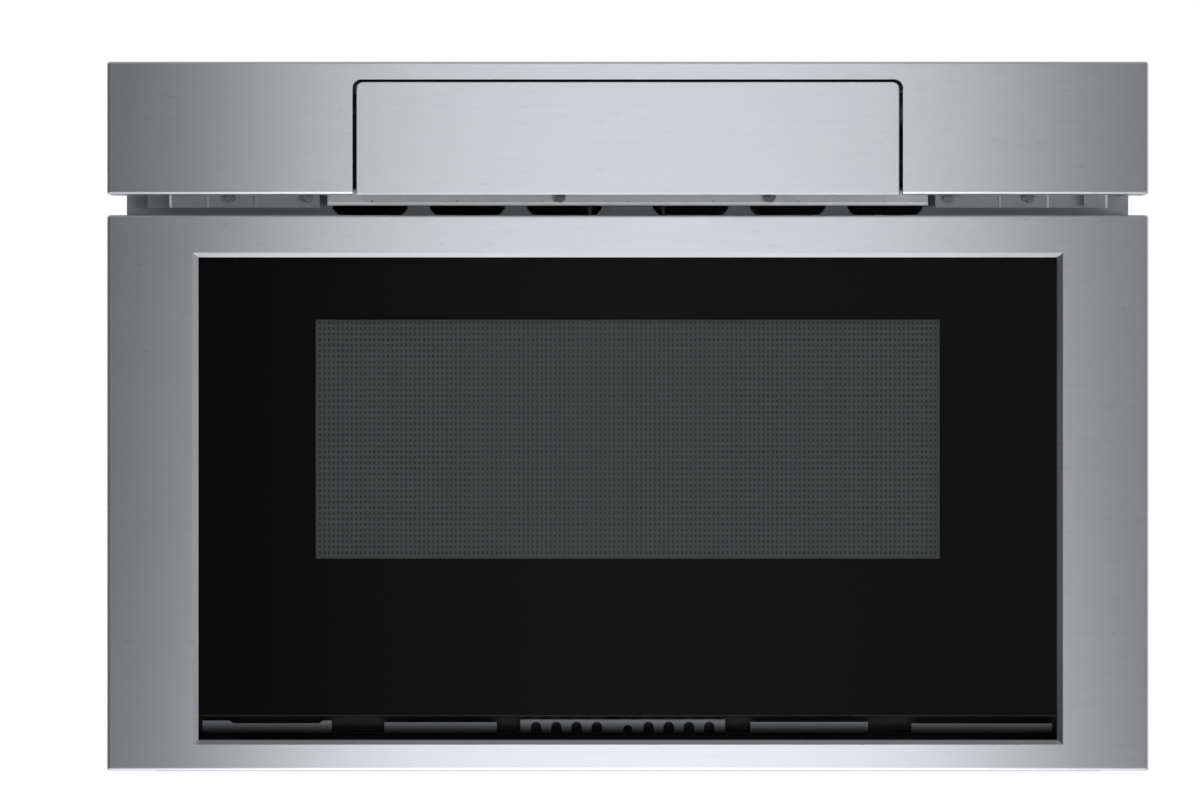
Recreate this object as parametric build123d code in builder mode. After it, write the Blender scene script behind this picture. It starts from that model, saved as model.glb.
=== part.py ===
"""Built-in microwave drawer, 24-inch class, as an assembly of separate pieces.

Frame: millimetres, +Z up, +X to the right as seen from the front, the front faces -Y.
The origin is at the middle of the base. A place behind the front face is called its depth.
"""

import os
from math import atan2, cos, pi, radians, sin, sqrt, tan

from build123d import *

os.makedirs("parts", exist_ok=True)

# ---------------------------------------------------------------- driving dimensions
WIDTH = 606.4  # stainless fronts, side to side
DEPTH = 594.0  # front face to the back of the rear louvres
HEIGHT = 414.8  # base to the top of the header
FRONT_Y = -DEPTH / 2

FACE_DEPTH = 38.0  # how far the fronts stand before the mounting flange
STEEL = 1.2  # sheet of the fronts and the chassis
FOLD_R = 1.8  # outer radius of the folded front edges

DOOR_LOW = 2.0
DOOR_TOP = 325.4
HEADER_LOW = 337.4
HEADER_TOP = HEIGHT

WINDOW_HALF = 250.0  # opening in the door front
WINDOW_LOW = 20.5
WINDOW_TOP = 300.2
BEVEL = 3.3  # pressed edge round that opening
GLASS_LOW = 33.0
GLASS_DEPTH = 4.7
GLASS_THICK = 4.0

FLANGE_HALF = 293.6  # mounting flange of the front frame
CASE_HALF = 278.0  # outer case
CASE_TOP = 400.0
CASE_BACK = 590.0  # depth of the rear panel
CASE_SHEET = 1.0

CAVITY_HALF = 218.5  # inside of the oven cavity
CAVITY_LOW = 104.5
CAVITY_TOP = 285.5
CAVITY_BACK = 460.0

TRAVEL = 381.0  # drawer travel, 15 in
SHAFT_DEPTH = 72.0
SHAFT_Z = 62.0
RACK_MODULE = 2.0
RACK_TEETH = 16
RACK_X = 252.0  # middle of each rack and its pinion
PITCH_R = RACK_MODULE * RACK_TEETH / 2

FLAP_HALF = 158.1  # tilt-out control flap
FLAP_TOP = 402.9
FLAP_GAP_HALF = 160.2  # cut-out for it in the header
FLAP_GAP_TOP = 404.4
HINGE_DEPTH = 6.0
HINGE_Z = HEADER_LOW + 5.0
CHORD_R = 59.5  # hinge axis to the two edges of the touch glass

SIDES = (-1, 1)  # left, right
FEW_SIDES = 12  # of pins, posts and drilled holes that hardly show


# ---------------------------------------------------------------- places
def facing(depth, x=0.0, z=0.0):
    """A plane that faces the viewer, at a depth behind the front face."""
    return Plane(origin=(x, FRONT_Y + depth, z), x_dir=(1, 0, 0), z_dir=(0, -1, 0))


def section(x, depth=0.0, z=0.0):
    """A plane across the width: its own x is depth and its own y is height."""
    return Plane(origin=(x, FRONT_Y + depth, z), x_dir=(0, 1, 0), z_dir=(1, 0, 0))


def level(z, x=0.0, depth=0.0):
    """A level plane at height z: its own x is width and its own y is depth."""
    return Plane(origin=(x, FRONT_Y + depth, z), x_dir=(1, 0, 0), z_dir=(0, 0, 1))


def span(low, high):
    return (low + high) / 2


def punched(long, tall):
    """A slot punched with clipped corners, for the sheets that hardly show."""
    with BuildSketch(mode=Mode.PRIVATE) as slot:
        Rectangle(long, tall)
        chamfer(vertices(), tall * 0.3)
    return slot.sketch


def small_round(radius, mode=Mode.ADD):
    """A pin, post or drilled hole that hardly shows, with few sides."""
    RegularPolygon(radius, FEW_SIDES, mode=mode)


def save(piece, name):
    piece.part.label = name
    export_step(piece.part, f"parts/{name}.step")


# ---------------------------------------------------------------- gear teeth
PRESSURE = radians(20)
BACKLASH = 0.25  # taken off each tooth, as a share of the module


def involute_points(base_r, outer_r, turn, hand):
    """Three points along one flank, from the base circle to the tip."""
    points = []
    for step in range(3):
        radius = base_r + (outer_r - base_r) * step / 2
        roll = sqrt(max((radius / base_r) ** 2 - 1, 0))
        angle = turn + hand * (roll - atan2(roll, 1))
        points.append((radius * cos(angle), radius * sin(angle)))
    return points


def tooth_outline(module, teeth):
    """One involute tooth that points along +X, rooted inside the gear's rim."""
    pitch_r = module * teeth / 2
    outer_r = pitch_r + module
    root_r = pitch_r - 1.25 * module
    base_r = max(pitch_r * cos(PRESSURE), root_r + 0.05 * module)
    pitch_roll = sqrt((pitch_r / base_r) ** 2 - 1)
    half = pi / (2 * teeth) - BACKLASH * module / 2 / pitch_r
    start = half + pitch_roll - atan2(pitch_roll, 1)
    lower = involute_points(base_r, outer_r, -start, 1)
    upper = involute_points(base_r, outer_r, start, -1)
    foot_r = root_r - 0.4 * module
    foot_low = (foot_r * cos(start), -foot_r * sin(start))
    foot_high = (foot_r * cos(start), foot_r * sin(start))
    return lower, upper, foot_low, foot_high


def gear_sketch(plane, module, teeth, turn=0.0, bore=0.0, places=None):
    """A spur gear's outline. turn is the angle of its first tooth in degrees."""
    lower, upper, foot_low, foot_high = tooth_outline(module, teeth)
    root_r = module * teeth / 2 - 1.25 * module
    with BuildSketch(plane) as outline:
        with BuildSketch(mode=Mode.PRIVATE) as tooth:
            with BuildLine():
                Polyline(*lower)
                Line(lower[-1], upper[-1])
                Polyline(*upper)
                Polyline(upper[0], foot_high, foot_low, lower[0])
            make_face()
        RegularPolygon(root_r, teeth, rotation=turn)
        kept = range(teeth) if places is None else places
        for place in kept:
            with Locations(Location((0, 0, 0), (0, 0, turn + 360 / teeth * place))):
                add(tooth.sketch)
        if bore:
            Circle(bore, mode=Mode.SUBTRACT)
    return outline.sketch


# ================================================================ header
# One folded sheet: front skin, returns on all four sides, and a cut-out for the flap
# that is open at the bottom.
with BuildPart() as header_fascia:
    with BuildSketch(facing(0, z=span(HEADER_LOW, HEADER_TOP))):
        Rectangle(WIDTH, HEADER_TOP - HEADER_LOW)
    extrude(amount=-(FACE_DEPTH - 1))
    fillet(header_fascia.faces().sort_by(Axis.Y)[0].edges(), FOLD_R)
    offset(amount=-STEEL, openings=header_fascia.faces().sort_by(Axis.Y)[-1])
    with BuildSketch(facing(-1)):
        with Locations((0, span(HEADER_LOW - 5, FLAP_GAP_TOP))):
            Rectangle(2 * FLAP_GAP_HALF, FLAP_GAP_TOP - HEADER_LOW + 5)
        fillet(vertices().group_by(Axis.Y)[-1], 5)
    extrude(amount=-FACE_DEPTH - 2, mode=Mode.SUBTRACT)
    # the return below is only a narrow hem, so the vent gap is open behind it
    with BuildSketch(level(HEADER_LOW - 1)):
        with Locations((0, span(13, FACE_DEPTH))):
            Rectangle(WIDTH - 30, FACE_DEPTH - 13)
    extrude(amount=STEEL + 2, mode=Mode.SUBTRACT)
save(header_fascia, "header_fascia")

# Brackets that carry the fascia on the front frame. Each is a pan with two stiffening beads
# and a forward flange, and the tab outside that flange is set back.
BRACKET_IN = 180.0
BRACKET_OUT = 268.0
TAB_OUT = 281.0
BRACKET_LOW = 330.2
BRACKET_HIGH = 408.0
BRACKET_DEPTH = 27.0
TAB_SET_BACK = 4.0
bracket_tall = BRACKET_HIGH - BRACKET_LOW
with BuildPart() as header_brackets:
    for sign in SIDES:
        with BuildSketch(facing(BRACKET_DEPTH, z=span(BRACKET_LOW, BRACKET_HIGH))):
            with Locations((sign * span(BRACKET_IN, BRACKET_OUT), 0)):
                Rectangle(BRACKET_OUT - BRACKET_IN, bracket_tall)
        extrude(amount=-STEEL)
        with BuildSketch(facing(BRACKET_DEPTH + TAB_SET_BACK, z=span(BRACKET_LOW, BRACKET_HIGH))):
            with Locations((sign * span(BRACKET_OUT - STEEL, TAB_OUT), 0)):
                Rectangle(TAB_OUT - BRACKET_OUT + STEEL, bracket_tall)
        extrude(amount=-STEEL)
        with BuildSketch(facing(BRACKET_DEPTH + TAB_SET_BACK, z=span(BRACKET_LOW, BRACKET_HIGH))):
            with Locations((sign * (BRACKET_OUT - STEEL / 2), 0.6)):
                Rectangle(STEEL, bracket_tall - 1.2)
        extrude(amount=TAB_SET_BACK + 4.5)
        with BuildSketch(facing(BRACKET_DEPTH, z=span(BRACKET_LOW, BRACKET_HIGH))):
            with Locations((sign * 217.7, 0), (sign * 245.7, 0)):
                Rectangle(0.8, bracket_tall)
        extrude(amount=0.6)
        with BuildSketch(level(396)):
            with Locations((sign * span(BRACKET_IN, BRACKET_OUT), span(BRACKET_DEPTH, FACE_DEPTH))):
                Rectangle(BRACKET_OUT - BRACKET_IN, FACE_DEPTH - BRACKET_DEPTH)
        extrude(amount=STEEL)
        with BuildSketch(facing(BRACKET_DEPTH + STEEL)):
            with Locations((sign * 225, 365)):
                add(punched(46, 22))
        extrude(amount=STEEL * 2, mode=Mode.SUBTRACT)
save(header_brackets, "header_brackets")

# Folded plate that turns the exhaust air down, with small holes above its hemmed lip.
DEFLECTOR_HALF = 175.5
DEFLECTOR_DEPTH = 24.0
LIP_DEPTH = 27.5
LIP_Z = 332.1
DEFLECTOR_BACK = FACE_DEPTH - STEEL / 2
with BuildPart() as air_deflector:
    with BuildSketch(section(-DEFLECTOR_HALF)):
        with BuildLine():
            FilletPolyline(
                (DEFLECTOR_BACK, 341.4),
                (DEFLECTOR_DEPTH, 340.4),
                (DEFLECTOR_DEPTH, LIP_Z),
                (LIP_DEPTH, LIP_Z),
                radius=1.2,
            )
            offset(amount=STEEL / 2, side=Side.BOTH)
        make_face()
    extrude(amount=2 * DEFLECTOR_HALF)
    with BuildSketch(facing(DEFLECTOR_DEPTH - 2, z=LIP_Z + 2)):
        with GridLocations(49.8, 1, 7, 1):
            small_round(0.6)
    extrude(amount=-4, mode=Mode.SUBTRACT)
save(air_deflector, "air_deflector")

# Pan-head screws of the brackets and the deflector, half hidden behind the hem of the header.
SCREW_Z = 336.5
SCREW_SPOTS = (-232.6, -187.2, -39.4, 83.3, 188.1, 234.4)
with BuildPart() as header_screws:
    for screw_x in SCREW_SPOTS:
        seat = DEFLECTOR_DEPTH - STEEL / 2 if abs(screw_x) < BRACKET_IN else BRACKET_DEPTH
        with BuildSketch(facing(seat, screw_x, SCREW_Z)):
            RegularPolygon(3.5, 2 * FEW_SIDES)
        extrude(amount=1.9, taper=12)
save(header_screws, "header_screws")

# ================================================================ tilt-out control module
# Everything here turns about one axis across the width, just behind the flap's lower edge.
FLAP_LOW = HEADER_LOW
with BuildPart() as control_flap:
    with BuildSketch(facing(0)):
        with Locations((0, span(FLAP_LOW, FLAP_TOP))):
            Rectangle(2 * FLAP_HALF, FLAP_TOP - FLAP_LOW)
        fillet(vertices().group_by(Axis.Y)[-1], 4)
    extrude(amount=-STEEL)
    with BuildSketch(level(FLAP_TOP - STEEL)):
        with Locations((0, 3.5)):
            Rectangle(2 * FLAP_HALF - 14, 7)
    extrude(amount=STEEL)
    fillet(control_flap.edges().group_by(Axis.Y)[0], 0.5)
save(control_flap, "control_flap")

# The plastic housing is a wedge of a cylinder about the hinge axis. Its flat upper back
# carries the touch glass, two end cheeks close it, and it is open at the lower back.
GLASS_TURN = 45.0  # where the rear edge of the touch glass stands above the level
HOUSING_HALF = 141.0
HOUSING_FRONT = 1.3
REAR_D = HINGE_DEPTH + CHORD_R * cos(radians(GLASS_TURN))
REAR_Z = HINGE_Z + CHORD_R * sin(radians(GLASS_TURN))
TOP_D = 2.2
TOP_Z = HINGE_Z + sqrt(CHORD_R**2 - (HINGE_DEPTH - TOP_D) ** 2) - 1.2
with BuildPart() as panel_housing:
    with BuildSketch(section(-HOUSING_HALF)):
        with BuildLine():
            Polyline(
                (HOUSING_FRONT, HINGE_Z - 2),
                (HOUSING_FRONT, TOP_Z),
                (TOP_D, TOP_Z),
                (REAR_D, REAR_Z),
                (REAR_D - 3, REAR_Z - 5),
                (HINGE_DEPTH + 9, HINGE_Z + 1),
                (HINGE_DEPTH, HINGE_Z - 2),
                close=True,
            )
        make_face()
    extrude(amount=2 * HOUSING_HALF)
    with BuildSketch(section(-HOUSING_HALF + 2.5)):
        with BuildLine():
            Polyline(
                (HOUSING_FRONT + 2.5, HINGE_Z + 8),
                (HOUSING_FRONT + 2.5, TOP_Z - 4.9),
                (REAR_D - 9, REAR_Z - 1.1),
                (REAR_D - 5, REAR_Z - 12),
                (HINGE_DEPTH + 14, HINGE_Z + 2),
                close=True,
            )
        make_face()
    extrude(amount=2 * HOUSING_HALF - 5, mode=Mode.SUBTRACT)

# the touch glass lies in a shallow recess on the flat back
chord_turn = atan2(TOP_Z - REAR_Z, REAR_D - TOP_D)
glass_plane = Plane(
    origin=(0, FRONT_Y + span(TOP_D, REAR_D), span(TOP_Z, REAR_Z)),
    x_dir=(1, 0, 0),
    z_dir=(0, sin(chord_turn), cos(chord_turn)),
)
TOUCH_LONG = 270.0
TOUCH_WIDE = 42.0
RECESS = 1.6
with panel_housing:
    with BuildSketch(glass_plane):
        RectangleRounded(TOUCH_LONG + 0.8, TOUCH_WIDE + 0.8, 3)
    extrude(amount=-RECESS, mode=Mode.SUBTRACT)
save(panel_housing, "panel_housing")

with BuildPart() as touch_glass:
    with BuildSketch(glass_plane.offset(-RECESS)):
        RectangleRounded(TOUCH_LONG, TOUCH_WIDE, 2.6)
    extrude(amount=2.0)
    chamfer(touch_glass.faces().sort_by(Axis.Z)[-1].edges(), 0.3)
save(touch_glass, "touch_glass")

with BuildPart() as display_board:
    with BuildSketch(glass_plane.offset(-RECESS - 6)):
        Rectangle(258, 26)
    extrude(amount=1.6)
    with BuildSketch(glass_plane.offset(-RECESS - 6 + 1.6)):
        with Locations((-60, 0)):
            Rectangle(70, 18)
        with Locations((10, 0), (40, 0), (70, 0), (100, 0)):
            small_round(5)
    extrude(amount=1.5)
save(display_board, "display_board")

# Pins moulded over by the cheeks: their free ends turn in the hinge brackets.
PIN_R = 2.0
BRACKET_IN_X = 153.0
with BuildPart() as hinge_pins:
    for sign in SIDES:
        with BuildSketch(section(sign * HOUSING_HALF, HINGE_DEPTH, HINGE_Z)):
            Circle(PIN_R)
        extrude(amount=sign * 15)
        with BuildSketch(section(sign * HOUSING_HALF, HINGE_DEPTH, HINGE_Z)):
            small_round(3.6)
        extrude(amount=sign * 3)
save(hinge_pins, "hinge_pins")

# Sector gear on the right cheek and the pinion that turns it.
TILT_MODULE = 1.0
SECTOR_TEETH = 80
TILT_TEETH = 12
SECTOR_X = 145.0
HUB_R = 4.4  # less than the gap between the hinge axis and the flap
MESH_TURN = 75.0  # the line from the hinge axis to the pinion, above the level
sector_r = TILT_MODULE * SECTOR_TEETH / 2
pinion_gap = sector_r + TILT_MODULE * TILT_TEETH / 2
TILT_PINION_D = HINGE_DEPTH + pinion_gap * cos(radians(MESH_TURN))
TILT_PINION_Z = HINGE_Z + pinion_gap * sin(radians(MESH_TURN))
SECTOR_LAST = 17  # teeth from the level up to just past the mesh
with BuildPart() as sector_gear:
    with BuildSketch(section(SECTOR_X, HINGE_DEPTH, HINGE_Z)):
        pitch = 360 / SECTOR_TEETH
        first = MESH_TURN - SECTOR_LAST * pitch + pitch
        add(gear_sketch(Plane.XY, TILT_MODULE, SECTOR_TEETH, first, places=range(SECTOR_LAST + 1)))
        with BuildSketch(mode=Mode.PRIVATE) as wedge:
            with BuildLine():
                Polyline((0, 0), (60, 0.8), (60, 60), (8, 60), close=True)
            make_face()
        add(wedge.sketch, mode=Mode.INTERSECT)
        Circle(HUB_R)
        Circle(PIN_R, mode=Mode.SUBTRACT)
        with Locations((20, 16)):
            small_round(6, Mode.SUBTRACT)
    extrude(amount=4)
    with BuildSketch(section(SECTOR_X, HINGE_DEPTH, HINGE_Z)):
        with Locations((0.6, 0.6)):
            Circle(HUB_R)
        Circle(3.6, mode=Mode.SUBTRACT)
    extrude(amount=-4)
save(sector_gear, "sector_gear")

# The pinion carries the plate of a slip clutch, so that the flap can be pushed shut by hand.
PINION_X = SECTOR_X - 0.5
CLUTCH_X = SECTOR_X + 4.6
CLUTCH_R = 12.0
with BuildPart() as tilt_pinion:
    with BuildSketch(section(PINION_X, TILT_PINION_D, TILT_PINION_Z)):
        add(gear_sketch(Plane.XY, TILT_MODULE, TILT_TEETH))
    extrude(amount=CLUTCH_X - PINION_X)
    with BuildSketch(section(CLUTCH_X, TILT_PINION_D, TILT_PINION_Z)):
        RegularPolygon(CLUTCH_R, 2 * FEW_SIDES)
    extrude(amount=3)
    chamfer(tilt_pinion.faces().sort_by(Axis.X)[-1].edges(), 0.4)
    with BuildSketch(section(CLUTCH_X + 3, TILT_PINION_D, TILT_PINION_Z)):
        small_round(1.5)
    extrude(amount=2.4)
save(tilt_pinion, "tilt_pinion")

# Fixed brackets for the hinge pins, screwed to the front frame. Their noses are round
# about the hinge axis, because the flap passes close in front of and below it.
BRACKET_SHEET = 2.0
with BuildPart() as hinge_brackets:
    for sign in SIDES:
        with BuildSketch(section(sign * BRACKET_IN_X, HINGE_DEPTH, HINGE_Z)):
            Circle(HUB_R)
            with Locations((21, 30)):
                Rectangle(22, 50)
            make_hull()
            Circle(PIN_R + 0.05, mode=Mode.SUBTRACT)
            with Locations((TILT_PINION_D - HINGE_DEPTH, TILT_PINION_Z - HINGE_Z)):
                small_round(2.2, Mode.SUBTRACT)
        extrude(amount=sign * BRACKET_SHEET)
        with BuildSketch(facing(FACE_DEPTH - 0.05, sign * (BRACKET_IN_X + 6), HINGE_Z + 30)):
            Rectangle(12, 50)
            with GridLocations(1, 30, 1, 2):
                small_round(1.8, Mode.SUBTRACT)
        extrude(amount=BRACKET_SHEET)
save(hinge_brackets, "hinge_brackets")

MOTOR_X = BRACKET_IN_X + BRACKET_SHEET + 1.2
with BuildPart() as tilt_motor:
    with BuildSketch(section(MOTOR_X, TILT_PINION_D, TILT_PINION_Z)):
        RegularPolygon(11.5, 2 * FEW_SIDES)
    extrude(amount=12)
    with BuildSketch(section(MOTOR_X + 12, TILT_PINION_D, TILT_PINION_Z)):
        small_round(10)
        Rectangle(15, 30, mode=Mode.INTERSECT)
    extrude(amount=22)
    with BuildSketch(section(MOTOR_X + 34, TILT_PINION_D, TILT_PINION_Z)):
        small_round(3)
    extrude(amount=2)
    with BuildSketch(section(MOTOR_X, TILT_PINION_D, TILT_PINION_Z)):
        small_round(2.5)
    extrude(amount=-1.1)
save(tilt_motor, "tilt_motor")

# ================================================================ drawer front
DOOR_BACK = 36.0
DOOR_MID = span(DOOR_LOW, DOOR_TOP)
WINDOW_MID = span(WINDOW_LOW, WINDOW_TOP)
WINDOW_TALL = WINDOW_TOP - WINDOW_LOW

# One folded sheet with a mitred bevel pressed in round the window opening.
with BuildPart() as door_frame:
    with BuildSketch(facing(0, z=DOOR_MID)):
        Rectangle(WIDTH, DOOR_TOP - DOOR_LOW)
    extrude(amount=-DOOR_BACK)
    fillet(door_frame.faces().sort_by(Axis.Y)[0].edges(), FOLD_R)
    offset(amount=-STEEL, openings=door_frame.faces().sort_by(Axis.Y)[-1])
    with BuildSketch(facing(STEEL, z=WINDOW_MID)):
        Rectangle(2 * (WINDOW_HALF + BEVEL + STEEL), WINDOW_TALL + 2 * (BEVEL + STEEL))
    extrude(amount=-(GLASS_DEPTH - 0.2 - STEEL))
    with BuildSketch(facing(0, z=WINDOW_MID)):
        Rectangle(2 * (WINDOW_HALF + BEVEL), WINDOW_TALL + 2 * BEVEL)
    with BuildSketch(facing(BEVEL, z=WINDOW_MID)):
        Rectangle(2 * WINDOW_HALF, WINDOW_TALL)
    loft(mode=Mode.SUBTRACT)
    with BuildSketch(facing(BEVEL - 0.1, z=WINDOW_MID)):
        Rectangle(2 * WINDOW_HALF, WINDOW_TALL)
    extrude(amount=-10, mode=Mode.SUBTRACT)
save(door_frame, "door_frame")

GLASS_HALF = WINDOW_HALF + 3.5
GLASS_HIGH = WINDOW_TOP + 3.0
with BuildPart() as door_glass:
    with BuildSketch(facing(GLASS_DEPTH, z=span(GLASS_LOW, GLASS_HIGH))):
        Rectangle(2 * GLASS_HALF, GLASS_HIGH - GLASS_LOW)
    extrude(amount=-GLASS_THICK)
    chamfer(door_glass.faces().sort_by(Axis.Y)[0].edges(), 0.4)
save(door_glass, "door_glass")

# Inner door panel: a pan whose outer wall runs forward inside the door frame, with a raised
# window frame and a deep channel round the oven mouth that stops the microwaves.
PANEL_HALF = 301.4
PANEL_LOW = 3.9
PANEL_HIGH = 323.5
CHANNEL_IN = 3.0  # channel's inner wall outside the oven mouth
CHANNEL_WIDE = 15.0
CHANNEL_DEEP = 15.0
PORT_HALF = 188.0
PORT_LOW = 118.0
PORT_HIGH = 272.0
SCREEN_DEPTH = 12.0
MOUTH_MID = span(CAVITY_LOW, CAVITY_TOP)
MOUTH_TALL = CAVITY_TOP - CAVITY_LOW
MOUTH_R = 6.0


def mouth_band(inner, outer):
    """A band round the oven mouth, between two distances outside it."""
    RectangleRounded(2 * (CAVITY_HALF + outer), MOUTH_TALL + 2 * outer, MOUTH_R + outer)
    RectangleRounded(
        2 * (CAVITY_HALF + inner), MOUTH_TALL + 2 * inner, MOUTH_R + inner, mode=Mode.SUBTRACT
    )


with BuildPart() as door_inner_panel:
    with BuildSketch(facing(DOOR_BACK, z=span(PANEL_LOW, PANEL_HIGH))):
        Rectangle(2 * PANEL_HALF, PANEL_HIGH - PANEL_LOW)
        with Locations((0, span(PORT_LOW, PORT_HIGH) - span(PANEL_LOW, PANEL_HIGH))):
            RectangleRounded(2 * PORT_HALF, PORT_HIGH - PORT_LOW, 6, mode=Mode.SUBTRACT)
    extrude(amount=STEEL)
    with BuildSketch(facing(DOOR_BACK, z=span(PANEL_LOW, PANEL_HIGH))):
        Rectangle(2 * PANEL_HALF, PANEL_HIGH - PANEL_LOW)
        Rectangle(2 * (PANEL_HALF - STEEL), PANEL_HIGH - PANEL_LOW - 2 * STEEL, mode=Mode.SUBTRACT)
    extrude(amount=20)
    with BuildSketch(facing(DOOR_BACK, z=span(PORT_LOW, PORT_HIGH))):
        RectangleRounded(2 * (PORT_HALF + STEEL), PORT_HIGH - PORT_LOW + 2 * STEEL, 7)
        RectangleRounded(2 * PORT_HALF, PORT_HIGH - PORT_LOW, 6, mode=Mode.SUBTRACT)
    extrude(amount=DOOR_BACK - SCREEN_DEPTH - 0.8)
    with BuildSketch(facing(DOOR_BACK, z=MOUTH_MID)):
        mouth_band(CHANNEL_IN, CHANNEL_IN + CHANNEL_WIDE)
    extrude(amount=CHANNEL_DEEP)
    with BuildSketch(facing(DOOR_BACK + 1, z=MOUTH_MID)):
        mouth_band(CHANNEL_IN + STEEL, CHANNEL_IN + CHANNEL_WIDE - STEEL)
    extrude(amount=CHANNEL_DEEP - STEEL + 1, mode=Mode.SUBTRACT)
save(door_inner_panel, "door_inner_panel")

with BuildPart() as choke_cover:
    with BuildSketch(facing(DOOR_BACK, z=MOUTH_MID)):
        mouth_band(CHANNEL_IN - 1.5, CHANNEL_IN + CHANNEL_WIDE + 1.5)
    extrude(amount=-1.2)
save(choke_cover, "choke_cover")

# The screen is a thin plate with a rolled rim, seated on the raised window frame.
SCREEN_RIM = 10.0
with BuildPart() as window_screen:
    with BuildSketch(facing(SCREEN_DEPTH, z=span(PORT_LOW, PORT_HIGH))):
        RectangleRounded(2 * (PORT_HALF + SCREEN_RIM), PORT_HIGH - PORT_LOW + 2 * SCREEN_RIM, 8)
    extrude(amount=-0.8)
save(window_screen, "window_screen")

with BuildPart() as inner_window:
    with BuildSketch(facing(DOOR_BACK - 2.7, z=span(PORT_LOW, PORT_HIGH))):
        RectangleRounded(2 * PORT_HALF, PORT_HIGH - PORT_LOW, 6)
    extrude(amount=-2.5)
save(inner_window, "inner_window")

# Bracket behind the lower air slot: a shelf with five upturned strips. The middle strip has
# a row of round-topped slots.
SHELF_Z = 24.0
STRIP_DEPTH = 13.5
STRIPS = (
    (-248.0, -172.7, 32.0),
    (-142.0, -76.3, 31.0),
    (-62.6, 56.8, 32.4),
    (71.6, 140.3, 31.2),
    (165.5, 247.5, 31.6),
)
SLOT_SPOTS = (15.1, 26.9, 38.7, 50.5)
SLOT_WIDE = 6.2
SLOTS_X = -2.9  # middle of that row
NOTCH_X = (-232.5, -178.0)  # the first strip's top edge is cut lower here
NOTCH_Z = (30.4, 32.0)
NOTCH_SLOPE = 2.0
with BuildPart() as vent_bracket:
    with BuildSketch(level(SHELF_Z - STEEL)):
        with Locations((0, span(STRIP_DEPTH, DOOR_BACK - STEEL))):
            Rectangle(2 * 248, DOOR_BACK - STEEL - STRIP_DEPTH)
            with GridLocations(62, 1, 8, 1):
                add(punched(40, 8), mode=Mode.SUBTRACT)
    extrude(amount=STEEL)
    for low_x, high_x, top_z in STRIPS:
        with BuildSketch(facing(STRIP_DEPTH)):
            with Locations((span(low_x, high_x), span(SHELF_Z - STEEL, top_z))):
                Rectangle(high_x - low_x, top_z - SHELF_Z + STEEL)
        extrude(amount=-STEEL)
    with BuildSketch(facing(STRIP_DEPTH - 1)):
        with BuildLine():
            Polyline(
                (NOTCH_X[0], NOTCH_Z[1]),
                (NOTCH_X[0] + NOTCH_SLOPE, NOTCH_Z[0]),
                (NOTCH_X[1] - NOTCH_SLOPE, NOTCH_Z[0]),
                (NOTCH_X[1], NOTCH_Z[1]),
                (NOTCH_X[1], NOTCH_Z[1] + 1),
                (NOTCH_X[0], NOTCH_Z[1] + 1),
                close=True,
            )
        make_face()
        for spot in SLOT_SPOTS:
            with Locations((SLOTS_X - spot, 27), (SLOTS_X + spot, 27)):
                Rectangle(SLOT_WIDE, 5, align=(Align.CENTER, Align.MAX))
                small_round(SLOT_WIDE / 2)
        with Locations((0, 25.5)):
            small_round(2.75)
    extrude(amount=-2 - STEEL, mode=Mode.SUBTRACT)
save(vent_bracket, "vent_bracket")

# Hooks that reach through the front frame and press the interlock switches.
HOOK_X = 244.0
HOOK_Z = 196.0
with BuildPart() as latch_hooks:
    for sign in SIDES:
        with BuildSketch(section(sign * HOOK_X - 1.5)):
            with BuildLine():
                Polyline(
                    (DOOR_BACK, HOOK_Z - 7),
                    (DOOR_BACK + 16, HOOK_Z - 4),
                    (DOOR_BACK + 22, HOOK_Z - 1),
                    (DOOR_BACK + 18, HOOK_Z + 6),
                    (DOOR_BACK + 13, HOOK_Z + 6),
                    (DOOR_BACK + 11, HOOK_Z + 1),
                    (DOOR_BACK, HOOK_Z + 7),
                    close=True,
                )
            make_face()
        extrude(amount=3)
save(latch_hooks, "latch_hooks")

# ================================================================ drawer
BIN_HALF = 212.0
BIN_LOW = 107.5
BIN_TOP = 232.0
BIN_BACK = 446.0
BIN_WALL = 3.0
with BuildPart() as drawer_bin:
    with BuildSketch(level(BIN_LOW)):
        with Locations((0, span(DOOR_BACK, BIN_BACK))):
            Rectangle(2 * BIN_HALF, BIN_BACK - DOOR_BACK)
        fillet(vertices().group_by(Axis.Y)[-1], 16)
    extrude(amount=BIN_TOP - BIN_LOW)
    front = drawer_bin.faces().sort_by(Axis.Y)[0]
    top = drawer_bin.faces().sort_by(Axis.Z)[-1]
    offset(amount=-BIN_WALL, openings=[front, top])
    with BuildSketch(facing(DOOR_BACK)):
        with Locations((0, span(BIN_LOW, PORT_LOW - 1))):
            Rectangle(2 * BIN_HALF, PORT_LOW - 1 - BIN_LOW)
    extrude(amount=-BIN_WALL)
    with BuildSketch(level(BIN_TOP)):
        with Locations((0, span(DOOR_BACK + 4, BIN_BACK + 3.5))):
            Rectangle(2 * BIN_HALF + 7, BIN_BACK + 3.5 - DOOR_BACK - 4)
        fillet(vertices().group_by(Axis.Y)[-1], 19)
        with Locations((0, span(DOOR_BACK + 2, BIN_BACK - BIN_WALL))):
            Rectangle(2 * (BIN_HALF - BIN_WALL), BIN_BACK - BIN_WALL - DOOR_BACK - 2, mode=Mode.SUBTRACT)
    extrude(amount=-2.5)
save(drawer_bin, "drawer_bin")

with BuildPart() as ceramic_tray:
    with BuildSketch(level(BIN_LOW + BIN_WALL)):
        with Locations((0, span(DOOR_BACK + 6, BIN_BACK - 6))):
            RectangleRounded(2 * BIN_HALF - 14, BIN_BACK - DOOR_BACK - 12, 12)
    extrude(amount=5)
    chamfer(ceramic_tray.faces().sort_by(Axis.Z)[-1].edges(), 0.8)
save(ceramic_tray, "ceramic_tray")

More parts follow.
